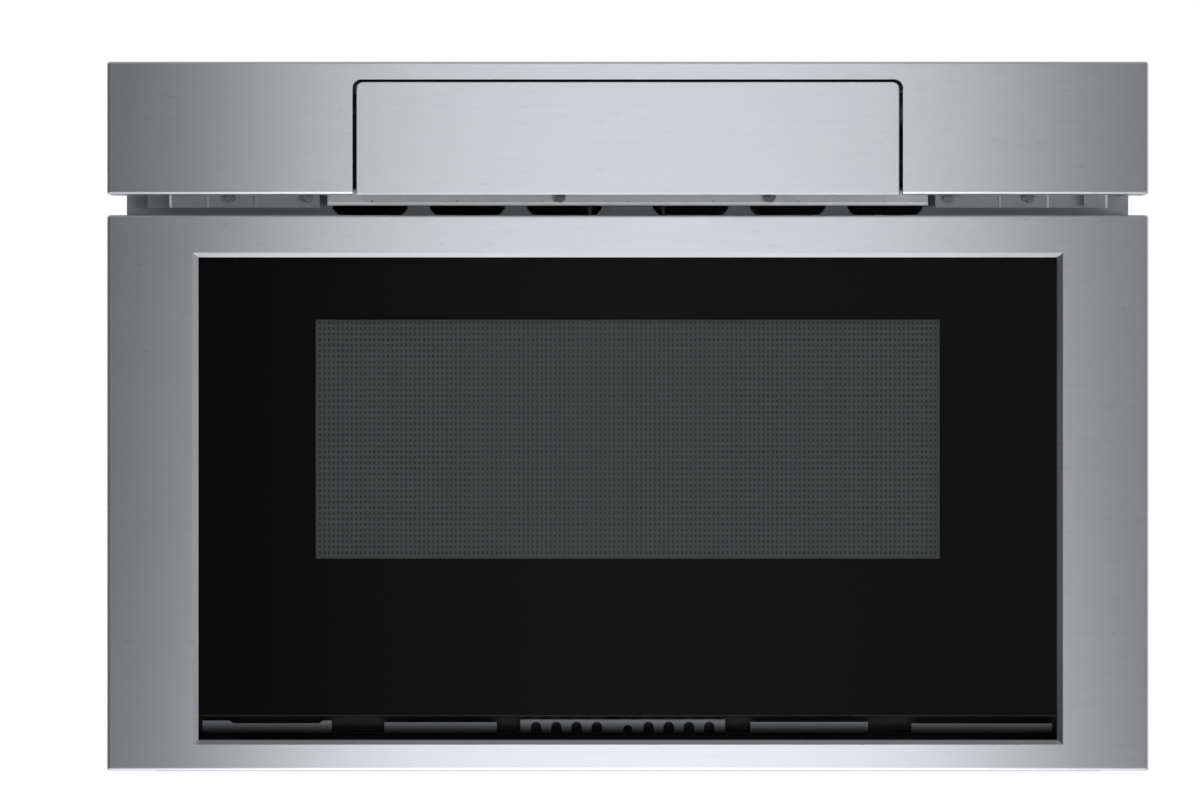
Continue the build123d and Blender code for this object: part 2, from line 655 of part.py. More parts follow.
with BuildPart() as bin_glides:
    with BuildSketch(level(CAVITY_LOW + 0.4)):
        with Locations((0, 250)):
            with GridLocations(380, 330, 2, 2):
                Rectangle(14, 40)
        chamfer(vertices(), 3)
    extrude(amount=BIN_LOW - CAVITY_LOW - 0.4)
save(bin_glides, "bin_glides")

# Racks and the arms that join them, the slides and the drawer front.
ARM_X = 258.0
ARM_SHEET = 2.0
ARM_LOW = 40.0
ARM_HIGH = 92.0
ARM_BACK = 482.0
RACK_PITCH = pi * RACK_MODULE
RACK_COUNT = 68
RACK_LINE = SHAFT_Z + PITCH_R
RACK_WIDE = 10.0
rack_half = RACK_PITCH / 4 - BACKLASH * RACK_MODULE / 2
with BuildPart() as carriage_arms:
    for sign in SIDES:
        with BuildSketch(section(sign * ARM_X)):
            with Locations((span(DOOR_BACK, ARM_BACK), span(ARM_LOW, ARM_HIGH))):
                Rectangle(ARM_BACK - DOOR_BACK, ARM_HIGH - ARM_LOW)
                with GridLocations(64, 1, 6, 1):
                    add(punched(44, 12), mode=Mode.SUBTRACT)
        extrude(amount=sign * ARM_SHEET)
        with BuildSketch(facing(DOOR_BACK, sign * span(ARM_X - 17, ARM_X), span(ARM_LOW, ARM_HIGH))):
            Rectangle(17, ARM_HIGH - ARM_LOW)
            with Locations((-sign * 2, -17), (-sign * 2, 17)):
                small_round(2.2, Mode.SUBTRACT)
        extrude(amount=-1.5)
save(carriage_arms, "carriage_arms")

with BuildPart() as racks:
    for sign in SIDES:
        with BuildSketch(section(sign * ARM_X)):
            with BuildSketch(mode=Mode.PRIVATE) as tooth:
                with BuildLine():
                    Polyline(
                        (-rack_half - 2.6 * tan(PRESSURE), 2.6),
                        (-rack_half + RACK_MODULE * tan(PRESSURE), -RACK_MODULE),
                        (rack_half - RACK_MODULE * tan(PRESSURE), -RACK_MODULE),
                        (rack_half + 2.6 * tan(PRESSURE), 2.6),
                        close=True,
                    )
                make_face()
            with Locations((SHAFT_DEPTH + RACK_PITCH * (RACK_COUNT / 2 - 3), RACK_LINE)):
                with Locations((0, 7.5)):
                    Rectangle(RACK_PITCH * RACK_COUNT, 10)
                with GridLocations(RACK_PITCH, 1, RACK_COUNT, 1):
                    add(tooth.sketch)
        extrude(amount=-sign * (ARM_X - RACK_X + RACK_WIDE / 2))
save(racks, "racks")

# ================================================================ telescopic slides
# Three nested channels on each side. The outer one is fixed to the case, the inner one to
# the arm, and the middle one goes half as far as the drawer.
CHANNEL_SHEET = 1.2
SLIDE_OUT_X = CASE_HALF - CASE_SHEET
# name, web's outer face, flange tip, low, high, first depth, last depth
CHANNELS = (
    ("slide_outer", SLIDE_OUT_X, 265.8, 38.0, 84.0, 40.2, 494.0),
    ("slide_middle", 274.0, 263.5, 39.7, 82.3, 46.0, 446.0),
    ("slide_inner", 271.0, ARM_X + ARM_SHEET, 41.4, 80.6, 42.0, 442.0),
)
for name, web_x, tip_x, low_z, high_z, first, last in CHANNELS:
    with BuildPart() as member:
        for sign in SIDES:
            with BuildSketch(facing(first)):
                with Locations((sign * span(tip_x, web_x), span(low_z, high_z))):
                    Rectangle(web_x - tip_x, high_z - low_z)
                with Locations((sign * (span(tip_x, web_x) - CHANNEL_SHEET), span(low_z, high_z))):
                    Rectangle(
                        web_x - tip_x, high_z - low_z - 2 * CHANNEL_SHEET, mode=Mode.SUBTRACT
                    )
            extrude(amount=first - last)
            web = section(sign * (web_x + 1), depth=span(first, last), z=span(low_z, high_z))
            with BuildSketch(web):
                with GridLocations((last - first) / 4, 1, 4, 1):
                    add(punched(30, 9))
            extrude(amount=-sign * (CHANNEL_SHEET + 2), mode=Mode.SUBTRACT)
    save(member, name)

# ================================================================ drawer drive
SHAFT_R = 4.0
SHAFT_END = 256.6
with BuildPart() as cross_shaft:
    with BuildSketch(section(-SHAFT_END, SHAFT_DEPTH, SHAFT_Z)):
        Circle(SHAFT_R)
    extrude(amount=2 * SHAFT_END)
    chamfer(cross_shaft.edges().filter_by(GeomType.CIRCLE), 0.6)
save(cross_shaft, "cross_shaft")

with BuildPart() as rack_pinions:
    for sign in SIDES:
        with BuildSketch(section(sign * (RACK_X - 4), SHAFT_DEPTH, SHAFT_Z)):
            add(gear_sketch(Plane.XY, RACK_MODULE, RACK_TEETH, bore=SHAFT_R))
        extrude(amount=sign * 8)
        with BuildSketch(section(sign * (RACK_X - 4), SHAFT_DEPTH, SHAFT_Z)):
            small_round(7)
            Circle(SHAFT_R, mode=Mode.SUBTRACT)
        extrude(amount=-sign * 6)
save(rack_pinions, "rack_pinions")

DRIVE_MODULE = 1.5
SHAFT_GEAR_TEETH = 32
MOTOR_TEETH = 12
DRIVE_X = 14.0
DRIVE_WIDE = 10.0
MOTOR_DEPTH = SHAFT_DEPTH + DRIVE_MODULE * (SHAFT_GEAR_TEETH + MOTOR_TEETH) / 2
with BuildPart() as shaft_gear:
    with BuildSketch(section(DRIVE_X, SHAFT_DEPTH, SHAFT_Z)):
        add(gear_sketch(Plane.XY, DRIVE_MODULE, SHAFT_GEAR_TEETH, bore=SHAFT_R))
        with PolarLocations(13.5, 5):
            small_round(3.6, Mode.SUBTRACT)
    extrude(amount=DRIVE_WIDE)
    with BuildSketch(section(DRIVE_X, SHAFT_DEPTH, SHAFT_Z)):
        small_round(7.5)
        Circle(SHAFT_R, mode=Mode.SUBTRACT)
    extrude(amount=-7)
save(shaft_gear, "shaft_gear")

# a gap of the motor pinion faces the tooth of the shaft gear that points back along the level
with BuildPart() as motor_pinion:
    with BuildSketch(section(DRIVE_X - 1, MOTOR_DEPTH, SHAFT_Z)):
        add(gear_sketch(Plane.XY, DRIVE_MODULE, MOTOR_TEETH, turn=180 / MOTOR_TEETH))
    extrude(amount=DRIVE_WIDE + 2)
    with BuildSketch(section(DRIVE_X + DRIVE_WIDE + 1, MOTOR_DEPTH, SHAFT_Z)):
        Circle(4)
    extrude(amount=5)
save(motor_pinion, "motor_pinion")

GEARBOX_X = DRIVE_X + DRIVE_WIDE + 4
with BuildPart() as gear_motor:
    with BuildSketch(section(GEARBOX_X, MOTOR_DEPTH, SHAFT_Z)):
        Circle(19)
        with Locations((26, 0)):
            Circle(19)
        make_hull()
        Circle(4.3, mode=Mode.SUBTRACT)
    extrude(amount=24)
    with BuildSketch(section(GEARBOX_X + 24, MOTOR_DEPTH + 26, SHAFT_Z)):
        RegularPolygon(17, 2 * FEW_SIDES)
    extrude(amount=52)
    chamfer(gear_motor.faces().sort_by(Axis.X)[-1].edges(), 2)
    with BuildSketch(section(GEARBOX_X + 76, MOTOR_DEPTH + 26, SHAFT_Z)):
        small_round(5)
    extrude(amount=4)
save(gear_motor, "gear_motor")

PAN_TOP = STEEL
BUSH_R = 7.0
POST_X = 228.0
with BuildPart() as drive_brackets:
    with BuildSketch(section(GEARBOX_X - 2, MOTOR_DEPTH, SHAFT_Z)):
        with Locations((12, span(PAN_TOP, SHAFT_Z + 24) - SHAFT_Z)):
            Rectangle(70, SHAFT_Z + 24 - PAN_TOP)
        chamfer(vertices().group_by(Axis.Y)[-1], 8)
        small_round(6, Mode.SUBTRACT)
        with Locations((12, -42)):
            add(punched(40, 14), mode=Mode.SUBTRACT)
    extrude(amount=2)
    with BuildSketch(level(PAN_TOP)):
        with Locations((GEARBOX_X + 9, MOTOR_DEPTH + 12)):
            Rectangle(22, 70)
            with GridLocations(1, 44, 1, 2):
                small_round(2.2, Mode.SUBTRACT)
    extrude(amount=2)
    for sign in SIDES:
        with BuildSketch(section(sign * POST_X, SHAFT_DEPTH, SHAFT_Z)):
            Circle(12)
            with Locations((0, -SHAFT_Z + PAN_TOP + 1)):
                Rectangle(34, 2)
            make_hull()
            RegularPolygon(BUSH_R, 2 * FEW_SIDES, mode=Mode.SUBTRACT)
        extrude(amount=sign * 2)
        with BuildSketch(level(PAN_TOP)):
            with Locations((sign * (POST_X - 8), SHAFT_DEPTH)):
                Rectangle(20, 34)
                small_round(2.2, Mode.SUBTRACT)
        extrude(amount=2)
save(drive_brackets, "drive_brackets")

with BuildPart() as shaft_bushes:
    for sign in SIDES:
        with BuildSketch(section(sign * (POST_X - 2), SHAFT_DEPTH, SHAFT_Z)):
            RegularPolygon(BUSH_R, 2 * FEW_SIDES)
            Circle(SHAFT_R + 0.06, mode=Mode.SUBTRACT)
        extrude(amount=sign * 7)
        with BuildSketch(section(sign * (POST_X + 2), SHAFT_DEPTH, SHAFT_Z)):
            RegularPolygon(BUSH_R + 2, 2 * FEW_SIDES)
            Circle(SHAFT_R + 0.06, mode=Mode.SUBTRACT)
        extrude(amount=sign * 1.5)
save(shaft_bushes, "shaft_bushes")

# ================================================================ body
FRAME_THICK = 2.0
FRAME_LOW = 6.0
FRAME_TOP = 409.0  # above the case, so that it shuts the gap over the flap
FRAME_MID = span(FRAME_LOW, FRAME_TOP)
MODULE_HALF = 165.0  # opening for the tilt-out module
MODULE_LOW = 341.8
MODULE_HIGH = 396.0
RAIL_IN = 243.5  # slot for each rack, arm and slide
RAIL_OUT = 277.2
RAIL_LOW = 35.0
RAIL_HIGH = 96.0
VENT_WIDE = 44.0
VENT_TALL = 12.0
VENT_LOW = 326.2
VENT_SPOTS = (-150.9, -93.9, -37.0, 37.0, 93.9, 150.9)
MOUNT_X = 285.5
MOUNT_LOW = 130.0
MOUNT_HIGH = 310.0
MOUNT_R = 2.4
with BuildPart() as front_frame:
    with BuildSketch(facing(FACE_DEPTH)):
        with Locations((0, FRAME_MID)):
            Rectangle(2 * FLANGE_HALF, FRAME_TOP - FRAME_LOW)
            chamfer(vertices(), 4)
        with Locations((0, MOUTH_MID)):
            RectangleRounded(2 * CAVITY_HALF, MOUTH_TALL, MOUTH_R, mode=Mode.SUBTRACT)
        with Locations((0, span(MODULE_LOW, MODULE_HIGH))):
            Rectangle(2 * MODULE_HALF, MODULE_HIGH - MODULE_LOW, mode=Mode.SUBTRACT)
        for sign in SIDES:
            with Locations((sign * span(RAIL_IN, RAIL_OUT), span(RAIL_LOW, RAIL_HIGH))):
                Rectangle(RAIL_OUT - RAIL_IN, RAIL_HIGH - RAIL_LOW, mode=Mode.SUBTRACT)
            with Locations((sign * HOOK_X, HOOK_Z)):
                Rectangle(9, 24, mode=Mode.SUBTRACT)
            with Locations((sign * MOUNT_X, MOUNT_LOW), (sign * MOUNT_X, MOUNT_HIGH)):
                Circle(MOUNT_R, mode=Mode.SUBTRACT)
        for spot in VENT_SPOTS:
            with Locations((spot, VENT_LOW + VENT_TALL / 2)):
                add(punched(VENT_WIDE, VENT_TALL), mode=Mode.SUBTRACT)
        with Locations((0, 20)):
            with GridLocations(57, 1, 8, 1):
                add(punched(44, 8), mode=Mode.SUBTRACT)
    extrude(amount=-FRAME_THICK)
    with BuildSketch(facing(FACE_DEPTH)):
        with Locations((0, 329.8)):
            Rectangle(21, 3)
    extrude(amount=1.5)
save(front_frame, "front_frame")

BODY_FRONT = FACE_DEPTH + FRAME_THICK
with BuildPart() as outer_case:
    with BuildSketch(facing(BODY_FRONT)):
        with Locations((0, span(1.0, CASE_TOP))):
            Rectangle(2 * CASE_HALF, CASE_TOP - 1.0)
        fillet(vertices().group_by(Axis.Y)[-1], 2.5)
        with Locations((0, span(-10, CASE_TOP - CASE_SHEET))):
            Rectangle(2 * SLIDE_OUT_X, CASE_TOP - CASE_SHEET + 10, mode=Mode.SUBTRACT)
    extrude(amount=BODY_FRONT - CASE_BACK)
    for sign in SIDES:
        with BuildSketch(section(sign * (CASE_HALF + 2), depth=520, z=300)):
            with GridLocations(1, 9, 1, 8):
                add(punched(70, 3.2))
        extrude(amount=-sign * 6, mode=Mode.SUBTRACT)
save(outer_case, "outer_case")

PAN_HALF = SLIDE_OUT_X - 0.1
with BuildPart() as base_pan:
    with BuildSketch(level(0)):
        with Locations((0, span(BODY_FRONT, CASE_BACK))):
            Rectangle(2 * PAN_HALF, CASE_BACK - BODY_FRONT)
    extrude(amount=13)
    chamfer(base_pan.edges().group_by(Axis.Z)[0].sort_by(Axis.Y)[0], 2)
    offset(amount=-STEEL, openings=base_pan.faces().sort_by(Axis.Z)[-1])
    with BuildSketch(level(-1)):
        for row in (-1, 1):
            with Locations((row * 150, span(BODY_FRONT, CASE_BACK))):
                with GridLocations(1, 14, 1, 12):
                    add(punched(60, 5))
    extrude(amount=STEEL + 2, mode=Mode.SUBTRACT)
save(base_pan, "base_pan")

HOOD_OUT = DEPTH - CASE_BACK - STEEL
INLET = (206.0, 44.0)  # cord inlet in the rear panel
with BuildPart() as rear_panel:
    with BuildSketch(facing(CASE_BACK)):
        with Locations((0, span(1.0, CASE_TOP))):
            Rectangle(2 * CASE_HALF, CASE_TOP - 1.0)
            chamfer(vertices(), 2)
        for row_x in (-150, 150):
            with Locations((row_x, 240)):
                with GridLocations(1, 14, 1, 9):
                    Rectangle(96, 3.4, mode=Mode.SUBTRACT)
        with Locations(INLET):
            Circle(9, mode=Mode.SUBTRACT)
    extrude(amount=-STEEL)
    for row_x in (-150, 150):
        # each louvre is a pressed hood that leans back over its slot
        for place in range(9):
            base_z = 240 + (place - 4) * 14
            with BuildSketch(section(row_x - 50, depth=CASE_BACK + STEEL, z=base_z)):
                with BuildLine():
                    Polyline(
                        (-0.1, 2.8), (HOOD_OUT, -0.6), (HOOD_OUT, -1.6), (-0.1, 1.8), close=True
                    )
                make_face()
            extrude(amount=100)
save(rear_panel, "rear_panel")

with BuildPart() as cord_inlet_grommet:
    with BuildSketch(facing(CASE_BACK - 3, *INLET)):
        Circle(8.9)
        Circle(4.2, mode=Mode.SUBTRACT)
    extrude(amount=-(3 + STEEL))
    with BuildSketch(facing(CASE_BACK + STEEL, *INLET)):
        Circle(12)
        Circle(4.2, mode=Mode.SUBTRACT)
    extrude(amount=-HOOD_OUT)
    chamfer(cord_inlet_grommet.faces().sort_by(Axis.Y)[-1].outer_wire().edges(), 1)
save(cord_inlet_grommet, "cord_inlet_grommet")

with BuildPart() as case_screws:
    for sign in SIDES:
        for screw_d, screw_z in ((60, 380), (60, 110), (575, 380), (575, 200), (575, 30)):
            with BuildSketch(section(sign * CASE_HALF, screw_d, screw_z)):
                small_round(4.6)
            extrude(amount=sign * 0.6)
            with BuildSketch(section(sign * (CASE_HALF + 0.6), screw_d, screw_z)):
                RegularPolygon(3.5, 6)
            extrude(amount=sign * 1.8)
save(case_screws, "case_screws")

# ================================================================ oven
WALL = 1.2
STIR_D = 250.0  # depth of the stirrer's axis
STIR_R = 62.0
with BuildPart() as oven_cavity:
    with BuildSketch(level(CAVITY_LOW - WALL)):
        with Locations((0, span(BODY_FRONT, CAVITY_BACK + WALL))):
            Rectangle(2 * (CAVITY_HALF + WALL), CAVITY_BACK + WALL - BODY_FRONT)
        fillet(vertices().group_by(Axis.Y)[-1], 12)
    extrude(amount=MOUTH_TALL + 2 * WALL)
    offset(amount=-WALL, openings=oven_cavity.faces().sort_by(Axis.Y)[0])
    with BuildSketch(facing(BODY_FRONT, z=MOUTH_MID)):
        mouth_band(0, 14)
    extrude(amount=-WALL)
    with BuildSketch(level(CAVITY_TOP - 1, depth=STIR_D)):
        Circle(STIR_R)
    extrude(amount=WALL + 2, mode=Mode.SUBTRACT)
save(oven_cavity, "oven_cavity")

with BuildPart() as mica_cover:
    with BuildSketch(level(CAVITY_TOP, depth=STIR_D)):
        RectangleRounded(150, 150, 10)
    extrude(amount=-0.8)
save(mica_cover, "mica_cover")

DUCT_LOW = CAVITY_TOP + WALL
DUCT_TOP = 328.0
DUCT_HALF = 43.0
DUCT_BACK = 562.0
ANTENNA_D = 520.0
with BuildPart() as waveguide:
    with BuildSketch(level(DUCT_LOW, depth=STIR_D)):
        Circle(STIR_R + 6)
        with Locations((0, (DUCT_BACK - STIR_D) / 2)):
            Rectangle(2 * DUCT_HALF, DUCT_BACK - STIR_D)
    extrude(amount=DUCT_TOP - DUCT_LOW)
    with BuildSketch(level(DUCT_LOW + WALL, depth=STIR_D)):
        Circle(STIR_R + 6 - WALL)
        with Locations((0, (DUCT_BACK - WALL - STIR_D) / 2)):
            Rectangle(2 * (DUCT_HALF - WALL), DUCT_BACK - WALL - STIR_D)
    extrude(amount=DUCT_TOP - DUCT_LOW - 2 * WALL, mode=Mode.SUBTRACT)
    with BuildSketch(level(DUCT_LOW - 1, depth=STIR_D)):
        Circle(STIR_R)
        with Locations((0, ANTENNA_D - STIR_D)):
            small_round(14)
    extrude(amount=WALL + 2, mode=Mode.SUBTRACT)
    with BuildSketch(level(DUCT_TOP - WALL - 1, depth=STIR_D)):
        Circle(4)
    extrude(amount=WALL + 2, mode=Mode.SUBTRACT)
save(waveguide, "waveguide")

with BuildPart() as stirrer:
    with BuildSketch(level(304, depth=STIR_D)):
        Circle(9)
    extrude(amount=6)
    for turn in (0, 90, 180, 270):
        blade_plane = level(302, depth=STIR_D).rotated((0, 0, turn)).rotated((14, 0, 0))
        with BuildSketch(blade_plane):
            with Locations((30, 0)):
                Rectangle(48, 22)
            chamfer(vertices(), 5)
        extrude(amount=1)
    with BuildSketch(level(310, depth=STIR_D)):
        Circle(2.8)
    extrude(amount=DUCT_TOP - 310 + 1)
save(stirrer, "stirrer")

with BuildPart() as stirrer_motor:
    with BuildSketch(level(DUCT_TOP, depth=STIR_D)):
        Circle(24)
        small_round(3.4, Mode.SUBTRACT)
    extrude(amount=15)
    chamfer(stirrer_motor.faces().sort_by(Axis.Z)[-1].outer_wire().edges(), 1.5)
    with BuildSketch(level(DUCT_TOP, depth=STIR_D)):
        with GridLocations(58, 1, 2, 1):
            small_round(5)
        Rectangle(58, 10)
        Circle(23, mode=Mode.SUBTRACT)
        with GridLocations(58, 1, 2, 1):
            small_round(2, Mode.SUBTRACT)
    extrude(amount=1.2)
    with BuildSketch(level(DUCT_TOP + 3, depth=STIR_D + 26)):
        Rectangle(14, 8)
    extrude(amount=8)
save(stirrer_motor, "stirrer_motor")

# ================================================================ behind and above the oven
MAG_HALF = 42.0
MAG_LOW = 186.0
MAG_TOP = DUCT_LOW
MAG_FRONT = ANTENNA_D - 40
MAG_BACK = ANTENNA_D + 40
FIN_COUNT = 9
with BuildPart() as magnetron:
    with BuildSketch(facing(MAG_FRONT)):
        with Locations((0, span(MAG_LOW + 26, MAG_TOP))):
            Rectangle(2 * MAG_HALF, MAG_TOP - MAG_LOW - 26)
            Rectangle(2 * MAG_HALF - 4, MAG_TOP - MAG_LOW - 30, mode=Mode.SUBTRACT)
    extrude(amount=MAG_FRONT - MAG_BACK)
    with BuildSketch(level(MAG_LOW, depth=ANTENNA_D)):
        Rectangle(70, 66)
    extrude(amount=26)
    with BuildSketch(level(MAG_LOW + 28, depth=ANTENNA_D)):
        small_round(19)
    extrude(amount=MAG_TOP - MAG_LOW - 30)
    with BuildSketch(level(MAG_TOP, depth=ANTENNA_D)):
        small_round(8)
    extrude(amount=20)
    chamfer(magnetron.faces().sort_by(Axis.Z)[-1].edges(), 2.5)
    for fin in range(FIN_COUNT):
        with BuildSketch(level(MAG_LOW + 36 + fin * 6.4, depth=ANTENNA_D)):
            Rectangle(2 * MAG_HALF - 4, 76)
        extrude(amount=0.8)
save(magnetron, "magnetron")

# Cooling fan: a seven-bladed wheel in a square shroud, and a duct that narrows to the fins.
FAN_X = -152.0
FAN_Z = 240.0
FAN_D = ANTENNA_D
FAN_WIDE = 104.0
FAN_DEEP = 26.0
WHEEL_R = 44.0
BLADES = 7
BLADE_TILT = radians(28)
with BuildPart() as fan_housing:
    with BuildSketch(section(FAN_X, FAN_D, FAN_Z)):
        Rectangle(FAN_WIDE, FAN_WIDE)
        chamfer(vertices(), 5)
        with GridLocations(90, 90, 2, 2):
            small_round(2.2, Mode.SUBTRACT)
    extrude(amount=2)
    with BuildSketch(section(FAN_X, FAN_D, FAN_Z)):
        Circle(WHEEL_R + 4.5)
    extrude(amount=FAN_DEEP)
    with BuildSketch(section(FAN_X - 1, FAN_D, FAN_Z)):
        Circle(WHEEL_R + 2)
    extrude(amount=FAN_DEEP + 2, mode=Mode.SUBTRACT)
    # three spokes carry the motor
    with BuildSketch(section(FAN_X, FAN_D, FAN_Z)):
        with PolarLocations(30, 3, 90):
            Rectangle(40, 7)
        RegularPolygon(17, 2 * FEW_SIDES)
        small_round(2.6, Mode.SUBTRACT)
    extrude(amount=2.5)
save(fan_housing, "fan_housing")

with BuildPart() as fan_wheel:
    with BuildSketch(section(FAN_X + 6, FAN_D, FAN_Z)):
        RegularPolygon(15, 2 * FEW_SIDES)
    extrude(amount=15)
    chamfer(fan_wheel.faces().sort_by(Axis.X)[-1].edges(), 2.5)
    with BuildSketch(section(FAN_X - 3, FAN_D, FAN_Z)):
        Circle(2)
    extrude(amount=9)
    for blade in range(BLADES):
        turn = 2 * pi * blade / BLADES
        pitched = Plane(
            origin=(FAN_X + 13.5, FRONT_Y + FAN_D, FAN_Z),
            x_dir=(0, cos(turn), sin(turn)),
            z_dir=(cos(BLADE_TILT), -sin(turn) * sin(BLADE_TILT), cos(turn) * sin(BLADE_TILT)),
        )
        with BuildSketch(pitched.offset(-0.7)):
            with BuildLine():
                Polyline((40, -10), (27, -12), (13, -8), (13, 8), (30, 14), (42, 13))
                ThreePointArc((42, 13), (43.5, 1), (40, -10))
            make_face()
        extrude(amount=1.4)
save(fan_wheel, "fan_wheel")

with BuildPart() as fan_motor:
    with BuildSketch(section(FAN_X, FAN_D, FAN_Z)):
        RegularPolygon(17, 2 * FEW_SIDES)
        small_round(2.6, Mode.SUBTRACT)
    extrude(amount=-5)
    with BuildSketch(section(FAN_X - 5, FAN_D, FAN_Z)):
        Rectangle(46, 58)
    extrude(amount=-18)
    with BuildSketch(section(FAN_X - 23, FAN_D, FAN_Z + 14)):
        add(punched(30, 24))
    extrude(amount=-9)
    with BuildSketch(section(FAN_X - 23, FAN_D, FAN_Z - 12)):
        small_round(9)
    extrude(amount=-4)
save(fan_motor, "fan_motor")

DUCT_START = FAN_X + FAN_DEEP
DUCT_END = -MAG_HALF - 1.5
with BuildPart() as air_duct:
    for wall, mode in ((0, Mode.ADD), (1.5, Mode.SUBTRACT)):
        with BuildSketch(section(DUCT_START + 0.2, FAN_D, FAN_Z)):
            Rectangle(98 - 2 * wall, 98 - 2 * wall)
            chamfer(vertices(), 7)
        with BuildSketch(section(DUCT_END, FAN_D, 250)):
            Rectangle(78 - 2 * wall, 68 - 2 * wall)
            chamfer(vertices(), 7)
        loft(ruled=True, mode=mode)
save(air_duct, "air_duct")

TRAFO_X = 120.0
TRAFO_D = 520.0
with BuildPart() as hv_transformer:
    with BuildSketch(section(TRAFO_X - 36, TRAFO_D, 50)):
        Rectangle(66, 50)
        chamfer(vertices(), 8)
    extrude(amount=72)
    with BuildSketch(section(TRAFO_X - 26, TRAFO_D, 50)):
        Rectangle(28, 60)
    extrude(amount=52, mode=Mode.SUBTRACT)
    with BuildSketch(section(TRAFO_X - 22, TRAFO_D, 50)):
        Rectangle(96, 84)
        with GridLocations(48, 0, 2, 1):
            Rectangle(20, 52, mode=Mode.SUBTRACT)
    extrude(amount=44)
    with BuildSketch(level(PAN_TOP, TRAFO_X, TRAFO_D)):
        Rectangle(70, 100)
        with GridLocations(58, 86, 2, 2):
            small_round(2.6, Mode.SUBTRACT)
    extrude(amount=8 - PAN_TOP)
save(hv_transformer, "hv_transformer")

with BuildPart() as hv_capacitor:
    with BuildSketch(section(-40, 520, 34)):
        SlotOverall(54, 34)
    extrude(amount=84)
    with BuildSketch(section(44, 520, 34)):
        with GridLocations(22, 0, 2, 1):
            small_round(5)
    extrude(amount=5)
    with BuildSketch(section(49, 520, 34)):
        with GridLocations(22, 0, 2, 1):
            Rectangle(6.3, 1)
    extrude(amount=7)
    # sheet clamp round the can
    with BuildSketch(section(-10, 520, 34)):
        SlotOverall(57, 37)
        SlotOverall(54, 34, mode=Mode.SUBTRACT)
        with Locations((-34, -31.9)):
            Rectangle(24, 1.5)
        with Locations((-27.8, -16)):
            Rectangle(1.5, 33)
    extrude(amount=16)
save(hv_capacitor, "hv_capacitor")

BOARD_Z = 334.0
with BuildPart() as power_board:
    with BuildSketch(level(BOARD_Z, -150, 200)):
        Rectangle(110, 170)
        with GridLocations(100, 160, 2, 2):
            small_round(1.8, Mode.SUBTRACT)
    extrude(amount=1.6)
    with BuildSketch(level(BOARD_Z + 1.6, -150, 200)):
        with GridLocations(26, 0, 4, 1):
            Rectangle(16, 20)
    extrude(amount=16)
    with BuildSketch(level(BOARD_Z + 1.6, -172, 152)):
        Rectangle(38, 34)
    extrude(amount=30)
    with BuildSketch(level(BOARD_Z + 1.6, -122, 152)):
        with GridLocations(18, 18, 2, 2):
            small_round(6.5)
    extrude(amount=20)
    with BuildSketch(level(BOARD_Z + 1.6, -150, 262)):
        with GridLocations(24, 1, 4, 1):
            Rectangle(18, 9)
    extrude(amount=10)
save(power_board, "power_board")

with BuildPart() as board_tray:
    with BuildSketch(level(BOARD_Z - 8, -150, 200)):
        Rectangle(120, 182)
    extrude(amount=10)
    offset(amount=-1.5, openings=board_tray.faces().sort_by(Axis.Z)[-1])
    with BuildSketch(level(BOARD_Z - 8, -150, 200)):
        with GridLocations(100, 160, 2, 2):
            small_round(3.4)
    extrude(amount=8)
    with BuildSketch(level(CAVITY_TOP + WALL, -150, 200)):
        with GridLocations(108, 168, 2, 2):
            Rectangle(10, 10)
    extrude(amount=BOARD_Z - 8 - CAVITY_TOP - WALL)
save(board_tray, "board_tray")

with BuildPart() as noise_filter:
    with BuildSketch(level(CAVITY_TOP + WALL + 8, 150, 400)):
        Rectangle(80, 60)
    extrude(amount=1.6)
    with BuildSketch(level(CAVITY_TOP + WALL, 150, 400)):
        with GridLocations(70, 50, 2, 2):
            small_round(4)
    extrude(amount=8)
    with BuildSketch(level(CAVITY_TOP + WALL + 9.6, 160, 400)):
        RegularPolygon(17, 2 * FEW_SIDES)
        small_round(7, Mode.SUBTRACT)
    extrude(amount=14)
    with BuildSketch(level(CAVITY_TOP + WALL + 9.6, 126, 400)):
        Rectangle(18, 44)
    extrude(amount=15)
save(noise_filter, "noise_filter")

LAMP_X = 150.0
LAMP_D = 300.0
with BuildPart() as oven_lamp:
    with BuildSketch(level(CAVITY_TOP + WALL, LAMP_X, LAMP_D)):
        Rectangle(44, 44)
        chamfer(vertices(), 3)
    extrude(amount=30)
    offset(amount=-1.5, openings=oven_lamp.faces().sort_by(Axis.Z)[0])
    with BuildSketch(level(CAVITY_TOP + WALL + 8, LAMP_X, LAMP_D)):
        small_round(11)
    extrude(amount=30)
    with BuildSketch(level(CAVITY_TOP + WALL + 38, LAMP_X, LAMP_D)):
        with GridLocations(12, 1, 2, 1):
            Rectangle(1, 6.3)
    extrude(amount=8)
save(oven_lamp, "oven_lamp")

with BuildPart() as thermal_cutout:
    for spot_x, spot_d in ((90, 150), (-90, 360)):
        with BuildSketch(level(CAVITY_TOP + WALL, spot_x, spot_d)):
            small_round(8)
            Rectangle(32, 9)
            with GridLocations(24, 1, 2, 1):
                small_round(1.8, Mode.SUBTRACT)
        extrude(amount=1)
        with BuildSketch(level(CAVITY_TOP + WALL + 1, spot_x, spot_d)):
            small_round(8)
        extrude(amount=10)
        with BuildSketch(level(CAVITY_TOP + WALL + 11, spot_x, spot_d)):
            with GridLocations(9, 1, 2, 1):
                Rectangle(0.8, 6.3)
        extrude(amount=8)
save(thermal_cutout, "thermal_cutout")

